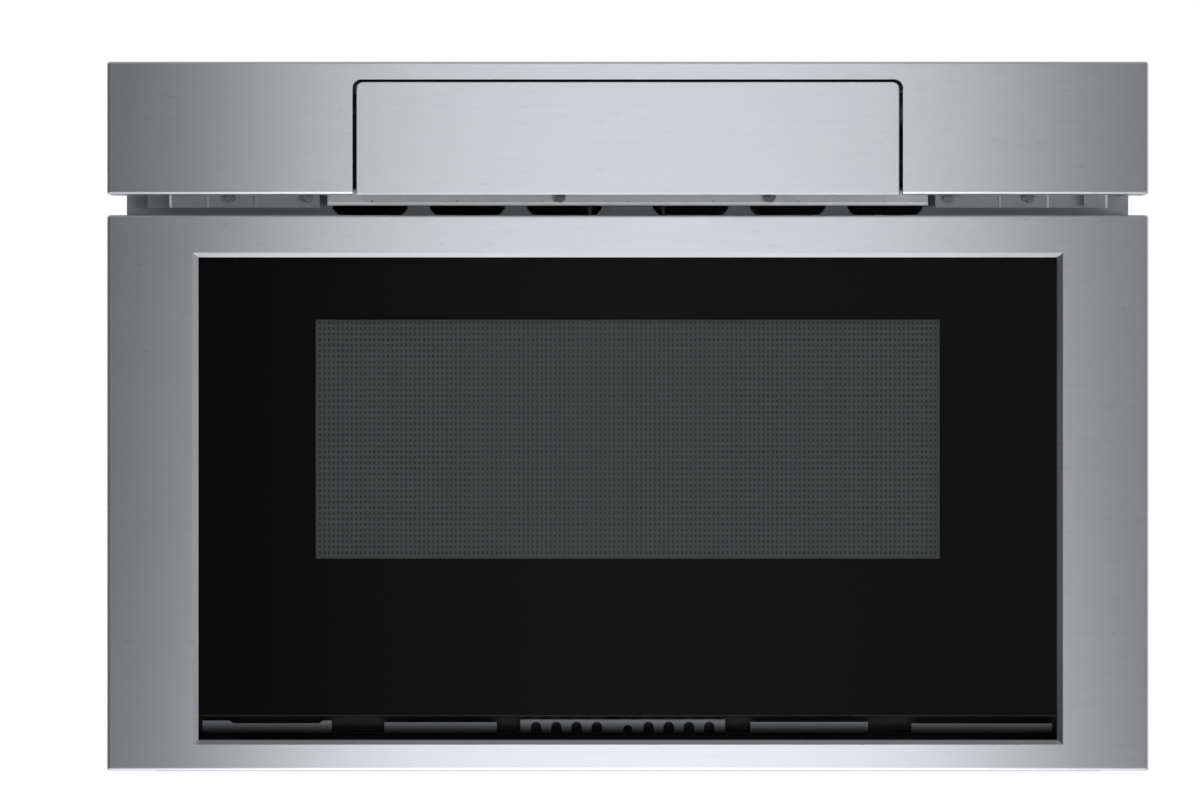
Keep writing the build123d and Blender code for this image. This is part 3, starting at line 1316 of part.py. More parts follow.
# Interlock switches stand on edge behind the slots of the front frame.
with BuildPart() as interlock_switches:
    for sign in SIDES:
        with BuildSketch(section(sign * (HOOK_X + 12), BODY_FRONT, HOOK_Z)):
            with Locations((25, 0)):
                Rectangle(50, 78)
                with GridLocations(30, 46, 2, 2):
                    small_round(1.6, Mode.SUBTRACT)
        extrude(amount=sign * 1.5)
        with BuildSketch(facing(BODY_FRONT, sign * (HOOK_X + 18), HOOK_Z)):
            Rectangle(12, 78)
        extrude(amount=-1.5)
    for sign in SIDES:
        for switch_z in (HOOK_Z - 21, HOOK_Z + 21):
            with BuildSketch(section(sign * (HOOK_X + 12), BODY_FRONT + 28, switch_z)):
                Rectangle(28, 16)
            extrude(amount=-sign * 10)
            with BuildSketch(section(sign * (HOOK_X + 8), BODY_FRONT + 14, switch_z)):
                with Locations((-1.5, 0)):
                    Rectangle(3, 4)
            extrude(amount=-sign * 3)
            with BuildSketch(section(sign * (HOOK_X + 8), BODY_FRONT + 42, switch_z)):
                with Locations((4, 0)):
                    Rectangle(8, 5)
            extrude(amount=-sign * 0.8)
save(interlock_switches, "interlock_switches")
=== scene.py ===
# %% [markdown]
# # Dressing a built-in microwave drawer
# The solid model gives every piece its true size and place. This lesson gives each of them a finish, adds
# the pieces that are too fine for a solid model, and sets up a small photo studio. Everything is in metres,
# in the frame of the solid model: X to the right, Y into the cabinet, Z up.

# %% Load the solid model
import math

import bmesh
import bpy
from mathutils import Matrix, Vector


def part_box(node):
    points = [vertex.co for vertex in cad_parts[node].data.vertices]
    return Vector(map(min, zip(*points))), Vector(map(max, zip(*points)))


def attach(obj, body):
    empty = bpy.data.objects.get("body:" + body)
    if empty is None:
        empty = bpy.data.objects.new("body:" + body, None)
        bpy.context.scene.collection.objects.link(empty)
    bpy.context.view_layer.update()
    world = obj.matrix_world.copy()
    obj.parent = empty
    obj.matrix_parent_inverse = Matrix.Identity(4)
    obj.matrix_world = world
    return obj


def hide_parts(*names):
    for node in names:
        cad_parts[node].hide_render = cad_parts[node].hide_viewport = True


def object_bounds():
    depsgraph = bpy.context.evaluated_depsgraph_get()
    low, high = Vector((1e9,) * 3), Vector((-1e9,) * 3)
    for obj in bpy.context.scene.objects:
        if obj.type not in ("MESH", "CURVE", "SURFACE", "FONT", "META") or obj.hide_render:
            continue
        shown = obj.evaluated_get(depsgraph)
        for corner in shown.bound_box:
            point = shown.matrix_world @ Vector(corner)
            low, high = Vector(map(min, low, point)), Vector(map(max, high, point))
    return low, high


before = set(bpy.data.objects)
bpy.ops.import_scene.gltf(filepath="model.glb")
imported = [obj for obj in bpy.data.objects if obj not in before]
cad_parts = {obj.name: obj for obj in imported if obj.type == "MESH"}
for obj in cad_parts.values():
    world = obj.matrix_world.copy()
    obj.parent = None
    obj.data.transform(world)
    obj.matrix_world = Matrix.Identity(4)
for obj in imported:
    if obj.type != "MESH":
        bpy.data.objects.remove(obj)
cad_low, cad_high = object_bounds()
scene = bpy.context.scene
scene.view_settings.view_transform = "Standard"
MM = 0.001
print("solid model from", tuple(cad_low), "to", tuple(cad_high))

# %% [markdown]
# ## The camera
# The picture is a catalogue view, taken straight from the front with a long lens, so upright edges stay
# upright. A lens of about 258 mm from five metres gives the same nearly flat look. It could be an
# orthographic camera, but a long lens keeps the little perspective that shows the depth of the vent gap.

# %% Place the camera
FRONT = cad_low.y
PHOTO_WIDTH = 0.69835  # how much of the front plane the picture spans, in metres
PHOTO_X, PHOTO_Z = -0.01615, 0.21605  # the middle of the picture on that plane
DISTANCE = 5.0
SENSOR = 36.0
camera_data = bpy.data.cameras.new("catalogue_camera")
camera_data.sensor_width = SENSOR
camera_data.lens = SENSOR * DISTANCE / PHOTO_WIDTH
camera = bpy.data.objects.new("catalogue_camera", camera_data)
camera.location = (PHOTO_X, FRONT - DISTANCE, PHOTO_Z)
camera.rotation_euler = (math.radians(90), 0, 0)
scene.collection.objects.link(camera)
scene.camera = camera
print("lens", round(camera_data.lens, 1), "mm")

# %% [markdown]
# ## Colour and nodes
# Colours are written as a designer writes them, as sRGB hex values, and one function turns them to the
# linear light that a renderer adds up. One more adds a node with its settings and its links, and the last
# starts a finish from Blender's standard shader.


# %% Helpers for colour and nodes
def linear(code):
    channels = [int(code[i : i + 2], 16) / 255 for i in (1, 3, 5)]
    return (*[c / 12.92 if c <= 0.04045 else ((c + 0.055) / 1.055) ** 2.4 for c in channels], 1)


def add(tree, kind, inputs=None, **settings):
    node = tree.nodes.new("ShaderNode" + kind)
    for name, value in settings.items():
        setattr(node, name, value)
    for socket, value in (inputs or {}).items():
        if isinstance(value, bpy.types.NodeSocket):
            tree.links.new(value, node.inputs[socket])
        else:
            node.inputs[socket].default_value = value
    return node


def new_finish(name, colour, roughness, metallic=0.0, **sockets):
    finish = bpy.data.materials.new(name)
    finish.use_nodes = True
    shader = finish.node_tree.nodes["Principled BSDF"]
    shader.inputs["Base Color"].default_value = linear(colour)
    shader.inputs["Roughness"].default_value = roughness
    shader.inputs["Metallic"].default_value = metallic
    for socket, value in sockets.items():
        shader.inputs[socket.replace("_", " ")].default_value = value
    return finish, finish.node_tree, shader


print("mid grey in linear light:", round(linear("#808080")[0], 3))

# %% [markdown]
# ## The studio
# White paper behind and below, soft lamps for the matt pieces, and in front of the object a dark studio wall
# with a bright middle band. Brushed steel and black glass show little but what they mirror, so that wall,
# which only reflections see, draws the falloff from the middle of the steel to its ends. The band keeps
# clear of what the flat glass mirrors, so the glass stays black.

# %% The world
world = bpy.data.worlds.new("white_studio")
world.use_nodes = True
scene.world = world
tree = world.node_tree
tree.nodes.clear()
WHITE = (1, 1, 1, 1)
WORLD_LEVEL = 0.55  # what matt surfaces receive; camera, gloss and glass see plain white
path = add(tree, "LightPath")
eye, gloss, glass = (path.outputs[f"Is {ray} Ray"] for ray in ("Camera", "Glossy", "Transmission"))
seen = add(tree, "Math", {0: eye, 1: gloss}, operation="MAXIMUM")
seen = add(tree, "Math", {0: seen.outputs[0], 1: glass}, operation="MAXIMUM")
sky_level = add(tree, "MapRange", {"Value": seen.outputs[0], "To Min": WORLD_LEVEL, "To Max": 1.0})
sky = add(tree, "Background", {"Color": WHITE, "Strength": sky_level.outputs[0]})
add(tree, "OutputWorld", {"Surface": sky.outputs[0]})
print("matt surfaces receive", WORLD_LEVEL, "of white")


# %% The lamps
def softbox(name, place, aim, size, power):
    data = bpy.data.lights.new(name, "AREA")
    data.shape = "RECTANGLE"
    data.size, data.size_y = size
    data.energy = power
    lamp = bpy.data.objects.new(name, data)
    lamp.location = place
    lamp.rotation_euler = (Vector(aim) - Vector(place)).to_track_quat("-Z", "Y").to_euler()
    lamp.visible_glossy = False  # steel mirrors the studio wall instead
    scene.collection.objects.link(lamp)
    return lamp


MIDDLE_Z = 0.2  # about half the height of the object
CENTRE = (0, 0, MIDDLE_Z)
softbox("front_softbox", (0.4, -3.2, 2.2), CENTRE, (2.2, 1.4), 62)
softbox("left_softbox", (-3.0, -1.0, 1.8), CENTRE, (1.6, 1.6), 28)
softbox("right_softbox", (3.0, 1.0, 2.2), CENTRE, (1.6, 1.6), 28)
softbox("rear_softbox", (0.5, 3.4, 2.0), CENTRE, (2.0, 1.4), 28)
low = softbox("low_softbox", (1.8, -1.6, 0.1), (0, FRONT, 0.33), (1.0, 0.5), 34)
low.visible_transmission = False  # it lights the vent gap, not the oven behind the glass
print("lamps:", len(bpy.data.lights))

# %% [markdown]
# The studio is made of flat sheets: a wall, four cards and the floor. A grid of one face is enough for each,
# and what it shines with is worked out by its material. The wall and the cards are there for reflections
# only, so every other kind of ray passes through them.


# %% Helpers for the sheets of the studio
def flat_sheet(size):
    bm = bmesh.new()
    bmesh.ops.create_grid(bm, x_segments=1, y_segments=1, size=size / 2)
    return bm


def studio_piece(name, bm, place=(0, 0, 0), aim=None):
    """Put a bmesh in the studio, with an empty material, and turn its front to aim."""
    mesh = bpy.data.meshes.new(name)
    bm.to_mesh(mesh)
    bm.free()
    made = bpy.data.objects.new(name, mesh)
    made.location = place
    if aim:
        made.rotation_euler = (Vector(aim) - Vector(place)).to_track_quat("Z", "Y").to_euler()
    scene.collection.objects.link(made)
    light = bpy.data.materials.new(name)
    light.use_nodes = True
    light.node_tree.nodes.clear()
    mesh.materials.append(light)
    return made, light.node_tree


def for_reflections_only(made):
    for ray in ("camera", "diffuse", "transmission", "shadow"):
        setattr(made, "visible_" + ray, False)
    print(made.name, "is seen in reflections only")


# %% [markdown]
# The studio wall is one upright plane with a pattern worked out from its own coordinates: a dark ground that
# is a little lighter to the right, a bright band that is left out around the height of the object, and paler
# ends far to the sides, which only slanting views mirror.

# %% The studio wall
WALL_Y, WALL_SIZE = FRONT - 2.1, 8.0
bm = flat_sheet(WALL_SIZE)
bmesh.ops.rotate(bm, verts=bm.verts, matrix=Matrix.Rotation(math.radians(90), 3, "X"))
bmesh.ops.translate(bm, verts=bm.verts, vec=(0, WALL_Y, MIDDLE_Z))
wall, tree = studio_piece("studio_wall", bm)
for_reflections_only(wall)

# %% The dark ground of the wall
GROUND_HALF = 0.5  # how far it changes to each side, in metres
GROUND_LEVELS = ((0.05, 0.037), (0.5, 0.19), (1.0, 0.12))  # from left to right, with the grey at each place
place = add(tree, "TexCoord")
across = add(tree, "SeparateXYZ", {0: place.outputs["Object"]})
x, z = across.outputs["X"], across.outputs["Z"]
from_left = add(tree, "MapRange", {"Value": x, "From Min": -GROUND_HALF, "From Max": GROUND_HALF})
ground = add(tree, "ValToRGB", {"Fac": from_left.outputs[0]})
stops = ground.color_ramp.elements
stops.new(0.5)
for stop, (position, grey) in zip(stops, GROUND_LEVELS):
    stop.position, stop.color = position, (grey, grey, grey, 1)
print("ground levels", GROUND_LEVELS)

# %% The bright band and the far ends of the wall
BAND_X, BAND_HALF, BAND_SOFT = 0.02, 0.305, 0.075
ABOVE_START, ABOVE_END, ABOVE_LEVEL = 0.55, 0.75, 1.22  # the band's upper part, over the object
BELOW_START, BELOW_END, BELOW_LEVEL = -0.12, -0.3, 2.6  # and its lower part
FAR_START, FAR_END, FAR_LEVEL = 1.2, 2.2, 0.5
from_band = add(tree, "Math", {0: x, 1: -BAND_X}, operation="ADD")
from_band = add(tree, "Math", {0: from_band.outputs[0]}, operation="ABSOLUTE")
band = add(
    tree, "MapRange",
    {"Value": from_band.outputs[0], "From Min": BAND_HALF + BAND_SOFT, "From Max": BAND_HALF - BAND_SOFT},
    interpolation_type="SMOOTHSTEP",
)
above = add(
    tree, "MapRange",
    {"Value": z, "From Min": ABOVE_START, "From Max": ABOVE_END, "To Max": ABOVE_LEVEL},
    interpolation_type="SMOOTHSTEP",
)
below = add(
    tree, "MapRange",
    {"Value": z, "From Min": BELOW_START, "From Max": BELOW_END, "To Max": BELOW_LEVEL},
    interpolation_type="SMOOTHSTEP",
)
parts = add(tree, "Math", {0: above.outputs[0], 1: below.outputs[0]}, operation="ADD")
glow = add(tree, "Math", {0: band.outputs[0], 1: parts.outputs[0]}, operation="MULTIPLY")
far = add(
    tree, "MapRange",
    {"Value": from_band.outputs[0], "From Min": FAR_START, "From Max": FAR_END, "To Max": FAR_LEVEL},
    interpolation_type="SMOOTHSTEP",
)
extra = add(tree, "Math", {0: glow.outputs[0], 1: far.outputs[0]}, operation="ADD")
total = add(tree, "Math", {0: ground.outputs["Color"], 1: extra.outputs[0]}, operation="ADD")
light = add(tree, "Emission", {"Color": WHITE, "Strength": total.outputs[0]})
add(tree, "OutputMaterial", {"Surface": light.outputs[0]})
print("studio wall at y =", round(WALL_Y, 3))

# %% [markdown]
# Small cards stand beside, above and below the front. They give the pressed edge round the window and the
# folded edges their four different tones. The lower one is dimmer at both its ends, as the steel is there.


# %% The cards
ENDS_START, ENDS_WHOLE = 0.26, 0.5  # distances from a card's middle between which its ends get dimmer


def card(name, place, aim, size, strength, ends=1.0):
    """A flat card that faces aim, and shines at both its ends with a share of its strength."""
    made, tree = studio_piece(name, flat_sheet(size), place, aim)
    for_reflections_only(made)
    spot = add(tree, "TexCoord")
    off = add(tree, "SeparateXYZ", {0: spot.outputs["Object"]})
    off = add(tree, "Math", {0: off.outputs["X"]}, operation="ABSOLUTE")
    dimmed = add(
        tree, "MapRange",
        {
            "Value": off.outputs[0], "From Min": ENDS_START, "From Max": ENDS_WHOLE,
            "To Min": strength, "To Max": strength * ends,
        },
        interpolation_type="SMOOTHSTEP",
    )
    shine = add(tree, "Emission", {"Color": WHITE, "Strength": dimmed.outputs[0]})
    add(tree, "OutputMaterial", {"Surface": shine.outputs[0]})


FRONT_MIDDLE = (0, FRONT, MIDDLE_Z)
card("left_card", (-1.6, FRONT - 0.5, MIDDLE_Z), FRONT_MIDDLE, 1.9, 0.08)
card("right_card", (1.6, FRONT - 0.5, MIDDLE_Z), FRONT_MIDDLE, 1.9, 0.55)
card("upper_card", (0, FRONT - 0.7, 1.9), FRONT_MIDDLE, 2.2, 0.38)
card("lower_card", (0, FRONT - 0.7, -1.5), FRONT_MIDDLE, 2.2, 2.1, 0.4)

# %% [markdown]
# The floor is a sheet of white paper that runs far past the object. To the camera it shines a little by
# itself, so that it stays as white as the background and still holds the soft shadow under the object.

# %% The floor
FLOOR_SIZE = 24.0
FLOOR_GAP = 0.2 * MM  # below the object, so that the two faces never share a plane
SHADOW_SHARE = 0.1  # how much of the floor's brightness the lamps give; the rest is its own
OWN_SHINE = 1.06
bm = flat_sheet(FLOOR_SIZE)
bmesh.ops.translate(bm, verts=bm.verts, vec=(0, 0, cad_low.z - FLOOR_GAP))
floor, tree = studio_piece("paper_floor", bm)
floor.visible_glossy = False
path = add(tree, "LightPath")
matt = add(tree, "BsdfDiffuse", {"Color": linear("#F4F4F4")})
shine = add(tree, "Emission", {"Color": WHITE, "Strength": OWN_SHINE})
eye, glass = path.outputs["Is Camera Ray"], path.outputs["Is Transmission Ray"]
seen = add(tree, "Math", {0: eye, 1: glass}, operation="MAXIMUM")
own = add(tree, "MapRange", {"Value": seen.outputs[0], "To Max": 1 - SHADOW_SHARE})
mixed = add(tree, "MixShader", {0: own.outputs[0], 1: matt.outputs[0], 2: shine.outputs[0]})
add(tree, "OutputMaterial", {"Surface": mixed.outputs[0]})
print("floor at z =", round(cad_low.z - FLOOR_GAP, 5))

# %% [markdown]
# ## Brushed stainless steel
# The door, the header and its flap are stainless sheet, rubbed along X with an abrasive belt. The scratches
# are a few hundredths of a millimetre wide, so they spread a reflection up and down but hardly sideways. Two
# things say that here: the anisotropy of the shader, turned to the upright, and fine streaks of a noise
# stretched along X. The streaks are drawn about 1.1 mm wide, which is as fine as the picture shows. They
# have a wide range, because a streak that is cut off at the end of its range shows as a dark dash.


# %% Streaks for the brushing
def streaks(tree, length, width):
    """A grey value with lines along X that are length long and width wide, both in millimetres."""
    place = add(tree, "TexCoord")
    stretch = add(
        tree, "Mapping",
        {"Vector": place.outputs["Object"], "Scale": (1 / (length * MM), 1 / (width * MM), 1 / (width * MM))},
    )
    noise = add(
        tree, "TexNoise",
        {"Vector": stretch.outputs[0], "Scale": 1.0, "Detail": 1.0, "Roughness": 0.6},
    )
    return noise.outputs["Fac"]


# %% Brushed steel
STEEL_DARK, STEEL_LIGHT = "#CCCED3", "#D8DADF"
STEEL_SMOOTH, STEEL_ROUGH = 0.265, 0.295
STREAKS_LOW, STREAKS_HIGH = 0.1, 1.9  # the sum of two noises, each of them about a half
UPRIGHT = 0.25  # a quarter turn of the anisotropy
brushed_steel, tree, shader = new_finish(
    "brushed_stainless_steel", STEEL_LIGHT, STEEL_ROUGH, 1.0, Anisotropic=0.97, Anisotropic_Rotation=UPRIGHT
)
fine = streaks(tree, 13, 1.1)
broad = streaks(tree, 50, 3.0)
streaked = add(tree, "Math", {0: fine, 1: broad}, operation="ADD")
depth = add(
    tree, "MapRange",
    {"Value": streaked.outputs[0], "From Min": STREAKS_LOW, "From Max": STREAKS_HIGH},
)
rough = add(tree, "MapRange", {"Value": depth.outputs[0], "To Min": STEEL_SMOOTH, "To Max": STEEL_ROUGH})
tone = add(
    tree, "Mix",
    {"Factor": depth.outputs[0], "A": linear(STEEL_DARK), "B": linear(STEEL_LIGHT)},
    data_type="RGBA",
)
tree.links.new(rough.outputs[0], shader.inputs["Roughness"])
tree.links.new(tone.outputs["Result"], shader.inputs["Base Color"])

# %% [markdown]
# The scratches follow the sheet round its folds: along X on the front, the top and the bottom, and along Y on
# the sides. A cross product of the normal with the upright gives that on all upright faces, and a share of X
# that grows with how level the face is gives it on the others.

# %% The direction of the scratches
normal = add(tree, "TexCoord").outputs["Normal"]
around = add(tree, "VectorMath", {0: normal, 1: (0, 0, 1)}, operation="CROSS_PRODUCT")
levelness = add(tree, "SeparateXYZ", {0: normal}).outputs["Z"]
levelness = add(tree, "Math", {0: levelness}, operation="ABSOLUTE")
along_x = add(tree, "CombineXYZ", {"X": levelness.outputs[0]})
rubbed = add(tree, "VectorMath", {0: around.outputs[0], 1: along_x.outputs[0]}, operation="SUBTRACT")
tree.links.new(rubbed.outputs[0], shader.inputs["Tangent"])
print("brushed steel has", len(tree.nodes), "nodes")

# %% [markdown]
# ## Sheet metal, plated steel and castings
# The body is zinc-plated sheet, dull and a little mottled, with the crystals of the zinc a few millimetres
# across. The shafts are bright turned steel, the laminations of motors and transformer are darker iron, and
# the magnetron's fins are plain aluminium.


# %% Metals
PATCH_LOW, PATCH_HIGH = 0.3, 0.7  # most of a noise lies between these


def mottled(tree, size, detail=2.0):
    """A grey value with patches about size millimetres across."""
    place = add(tree, "TexCoord")
    noise = add(
        tree, "TexNoise",
        {"Vector": place.outputs["Object"], "Scale": 1 / (size * MM), "Detail": detail},
    )
    return noise.outputs["Fac"]


def metal(name, dark, light, rough_low, rough_high, size, metallic=1.0):
    finish, tree, shader = new_finish(name, light, rough_high, metallic)
    patches = mottled(tree, size)
    tone = add(tree, "Mix", {"Factor": patches, "A": linear(dark), "B": linear(light)}, data_type="RGBA")
    rough = add(
        tree, "MapRange",
        {
            "Value": patches, "From Min": PATCH_LOW, "From Max": PATCH_HIGH,
            "To Min": rough_low, "To Max": rough_high,
        },
    )
    tree.links.new(tone.outputs["Result"], shader.inputs["Base Color"])
    tree.links.new(rough.outputs[0], shader.inputs["Roughness"])
    return finish


ZINC_PATCH = 6  # size of the zinc's crystals, in millimetres
zinc_sheet = metal("zinc_plated_sheet", "#9EA2A6", "#B9BCBF", 0.34, 0.5, ZINC_PATCH)
dull_zinc = metal("dull_zinc_sheet", "#9DA0A4", "#B3B6B9", 0.45, 0.58, ZINC_PATCH, 0.5)
turned_steel = metal("turned_steel", "#A9ABAE", "#C4C6C9", 0.2, 0.32, 1.5)
lamination_iron = metal("lamination_iron", "#5C5B59", "#77756F", 0.45, 0.6, 2.5)
plain_aluminium = metal("plain_aluminium", "#BEBFC1", "#D0D1D2", 0.3, 0.45, 2)
print("metals made:", zinc_sheet.name, dull_zinc.name, turned_steel.name)

# %% [markdown]
# The plates in the vent gap are the same dull zinc, with painted highlights along their folds: the hem of the
# air plate, and the beads and the outer flange of the two brackets. A band of lighter zinc follows each fold
# as a painted highlight, at its own height or place along X, and with its own share of the shine.


# %% Zinc with painted highlights on its folds
# The colour of the painted highlights.
PAINTED_HIGHLIGHT_ZINC = "#FAFBFC"


def zinc_with_painted_highlights(name, axis, folds, half, dark, light, metallic):
    """Dull zinc with painted highlight bands 2 * half wide along one axis, each with a place in millimetres
    and a share.
    """
    finish, tree, shader = new_finish(name, light, 0.5, metallic)
    place = add(tree, "TexCoord")
    along = add(tree, "SeparateXYZ", {0: place.outputs["Object"]}).outputs[axis]
    band = 0.0
    for fold, share in folds:
        near = add(tree, "Math", {0: along, 1: fold * MM, 2: half * MM}, operation="COMPARE")
        band = add(tree, "Math", {0: near.outputs[0], 1: share, 2: band}, operation="MULTIPLY_ADD").outputs[0]
    patches = mottled(tree, ZINC_PATCH)
    dull = add(
        tree, "Mix",
        {"Factor": patches, "A": linear(dark), "B": linear(light)},
        data_type="RGBA",
    )
    tone = add(
        tree, "Mix",
        {"Factor": band, "A": dull.outputs["Result"], "B": linear(PAINTED_HIGHLIGHT_ZINC)},
        data_type="RGBA",
    )
    tree.links.new(tone.outputs["Result"], shader.inputs["Base Color"])
    return finish


# Painted highlights: a band of lighter zinc at each fold, with its place in millimetres and its share.
HEM_HIGHLIGHTS = ((332.1, 1.0),)  # place in millimetres and share of the shine
BEAD_HIGHLIGHTS = ((-267.4, 1.0), (-245.7, 0.35), (-217.7, 0.15), (217.7, 0.35), (245.7, 0.7), (280.4, 1.0))
hem_highlight_zinc = zinc_with_painted_highlights("zinc_with_painted_hem_highlight", "Z", HEM_HIGHLIGHTS, 1.3, "#B8BBBE", "#CACDCF", 0.2)
bead_highlight_zinc = zinc_with_painted_highlights("zinc_with_painted_bead_highlights", "X", BEAD_HIGHLIGHTS, 0.7, "#A0A3A7", "#B6B9BC", 0.5)
print("bright folds:", len(HEM_HIGHLIGHTS) + len(BEAD_HIGHLIGHTS))

# %% [markdown]
# The strips of the bracket behind the lower air slot carry painted shade. They are zinc at their upper edges
# and get darker down to the shelf with painted shade, which fades out softly upwards.

# %% The painted shade on the bracket's strips
# Heights between which the painted shade fades out upwards.
SHADE_WHOLE_BELOW, SHADE_ENDS_ABOVE = 0.0222, 0.0297  # heights where the black is whole and where it ends
SHADE_FADE = 2.2  # more than 1 keeps the lower part darker
PAINTED_SHADE_BLACK, UNSHADED_STRIP = "#060607", "#85878B"
# Painted shade: the zinc of the strips goes to black towards their lower ends.
zinc_with_painted_shade, tree, shader = new_finish("zinc_strip_with_painted_shade", UNSHADED_STRIP, 0.4, 1.0)
place = add(tree, "TexCoord")
height = add(tree, "SeparateXYZ", {0: place.outputs["Object"]}).outputs["Z"]
unshaded = add(tree, "MapRange", {"Value": height, "From Min": SHADE_WHOLE_BELOW, "From Max": SHADE_ENDS_ABOVE})
unshaded = add(tree, "Math", {0: unshaded.outputs[0], 1: SHADE_FADE}, operation="POWER")
tone = add(
    tree, "Mix",
    {"Factor": unshaded.outputs[0], "A": linear(PAINTED_SHADE_BLACK), "B": linear(UNSHADED_STRIP)},
    data_type="RGBA",
)
tree.links.new(tone.outputs["Result"], shader.inputs["Base Color"])
# The height where the painted shade ends.
print("the spray ends at z =", SHADE_ENDS_ABOVE)

# %% [markdown]
# ## Moulded, enamelled and fired pieces
# Moulded plastic has the fine grain of its tool, enamel is glossy with a faint orange-peel ripple, and the
# glass-ceramic tray is smooth and slightly speckled. Each has a grain in millimetres, worked into a small
# bump and a change of roughness.


# %% Plastics, enamel, ceramic, mica, board and rubber
def grained(name, colour, light, roughness, spread, size, height, **sockets):
    """A non-metal with a grain of size millimetres, height millimetres deep."""
    finish, tree, shader = new_finish(name, colour, roughness, **sockets)
    grain = mottled(tree, size, 3.0)
    tone = add(tree, "Mix", {"Factor": grain, "A": linear(colour), "B": linear(light)}, data_type="RGBA")
    low, high = roughness - spread, roughness + spread
    rough = add(
        tree, "MapRange",
        {"Value": grain, "From Min": PATCH_LOW, "From Max": PATCH_HIGH, "To Min": low, "To Max": high},
    )
    relief = add(tree, "Bump", {"Height": grain, "Strength": 0.5, "Distance": height * MM})
    tree.links.new(tone.outputs["Result"], shader.inputs["Base Color"])
    tree.links.new(rough.outputs[0], shader.inputs["Roughness"])
    tree.links.new(relief.outputs[0], shader.inputs["Normal"])
    return finish


black_plastic = grained("moulded_black_plastic", "#101112", "#17181A", 0.42, 0.06, 0.8, 0.03)
grey_plastic = grained("moulded_grey_plastic", "#4A4C4E", "#55575A", 0.45, 0.06, 0.8, 0.03)
white_plastic = grained("moulded_acetal", "#E4E4DF", "#EEEEEA", 0.38, 0.05, 0.8, 0.02)
enamel = grained("grey_oven_enamel", "#8D9094", "#9A9DA1", 0.22, 0.04, 5, 0.05, Coat_Weight=0.3)
black_coat = grained("black_coated_sheet", "#0C0D0E", "#121314", 0.38, 0.05, 2, 0.02)
glass_ceramic = grained("glass_ceramic", "#ECECE8", "#F3F3F0", 0.14, 0.03, 1.2, 0.01, Coat_Weight=0.4)
mica_sheet = grained("mica_sheet", "#9C8E6C", "#B3A682", 0.4, 0.08, 3, 0.04)
circuit_board = grained("circuit_board", "#1E5A38", "#256B43", 0.35, 0.05, 1.5, 0.02)
black_rubber = grained("moulded_rubber", "#1A1A1A", "#222222", 0.62, 0.06, 1.0, 0.03)
print("materials so far:", len(bpy.data.materials))

# %% [markdown]
# ## Glass
# The door glass is one flat pane, black because of a print on its back, with a tinted clear window in the
# print. The touch glass on top of the flap's housing is printed black all over, and the film behind the
# screen is plain and clear.


# %% Glass
GLASS_IOR = 1.5
door_glass = new_finish("tinted_float_glass", "#AEB2B1", 0.0, Transmission_Weight=1.0, IOR=GLASS_IOR)[0]
clear_film = new_finish("clear_polyester_film", "#E8EBEA", 0.04, Transmission_Weight=1.0, IOR=GLASS_IOR)[0]
touch_glass = grained("printed_touch_glass", "#050606", "#080909", 0.06, 0.01, 20, 0.0, Coat_Weight=0.5)
glass_print = grained("black_glass_print", "#050505", "#070707", 0.5, 0.04, 2, 0.0, Specular_IOR_Level=0.0)
screen_steel = grained("grey_screen_coat", "#8A8C8F", "#96989B", 0.5, 0.05, 1.0, 0.01)
print("glass made:", door_glass.name, clear_film.name, touch_glass.name)

# %% [markdown]
# ## Finishes for the solids
# Each solid came with a slot that says what it is made of, and every slot gets its finish from one table.
# Five nodes differ from their slot. Those in the vent gap have the dull zinc, two of them with painted
# highlights, and the brackets and the motor beside the flap are black as painted shade, so that the gap round
# the flap stays dark.

# %% Give each solid the finish of its slot
FINISHES = {
    "stainless": brushed_steel, "galvanised": zinc_sheet, "steel": turned_steel, "iron": lamination_iron,
    "alloy": plain_aluminium, "screen": screen_steel, "black_coat": black_coat, "enamel": enamel,
    "door_glass": door_glass, "touch_glass": touch_glass, "clear_film": clear_film,
    "ceramic": glass_ceramic, "mica": mica_sheet, "board": circuit_board, "rubber": black_rubber,
    "black_plastic": black_plastic, "grey_plastic": grey_plastic, "white_plastic": white_plastic,
}
OWN_FINISHES = {
    "header_brackets": bead_highlight_zinc, "air_deflector": hem_highlight_zinc, "front_frame": dull_zinc,
    # Painted shade: these two are black so that the gap round the flap stays dark.
    "hinge_brackets": black_coat, "tilt_motor": black_coat,
}
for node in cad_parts.values():
    for slot in node.material_slots:
        slot.material = FINISHES[slot.material.name.split(".")[0]]
for name, finish in OWN_FINISHES.items():
    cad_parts[name].material_slots[0].material = finish
print("finishes given to", len(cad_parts), "solids")

# %% [markdown]
# ## New pieces
# Some pieces are too fine for the solid model. Each is shaped as a bmesh, and one function turns it into a
# piece that rides on a body. Others are copies of a solid with small changes. A solid's mesh is loose
# triangles, so the copy is merged first.


# %% Helpers for new pieces
def piece(bm, name, finish, body):
    bmesh.ops.recalc_face_normals(bm, faces=bm.faces)
    mesh = bpy.data.meshes.new(name)
    bm.to_mesh(mesh)
    bm.free()
    made = bpy.data.objects.new(name, mesh)
    scene.collection.objects.link(made)
    mesh.materials.append(finish)
    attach(made, body)
    print(name, len(mesh.polygons), "faces")
    return made


def copy_of(node):
    bm = bmesh.new()
    bm.from_mesh(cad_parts[node].data)
    bmesh.ops.remove_doubles(bm, verts=bm.verts, dist=0.001 * MM)
    return bm


def new_vertices(grown):
    """The vertices that an extrude made."""
    return [g for g in grown["geom"] if isinstance(g, bmesh.types.BMVert)]


# %% [markdown]
# ## Rounded corners of the two fronts
# The fronts are folded from one sheet, and their outer corners are ground to a small radius. The solids have
# square corners there, so each front becomes a copy of its solid with more cuts near the corners, and there
# every square shell is drawn in to a round one. The pressed edges above and below the window are a little
# steeper than those at its sides, so their inner lines move by less than a millimetre.

# %% Round the outer corners
CORNER_R = 1.5 * MM
SKIN = 1.5 * MM  # what lies deeper than this is not the outer face


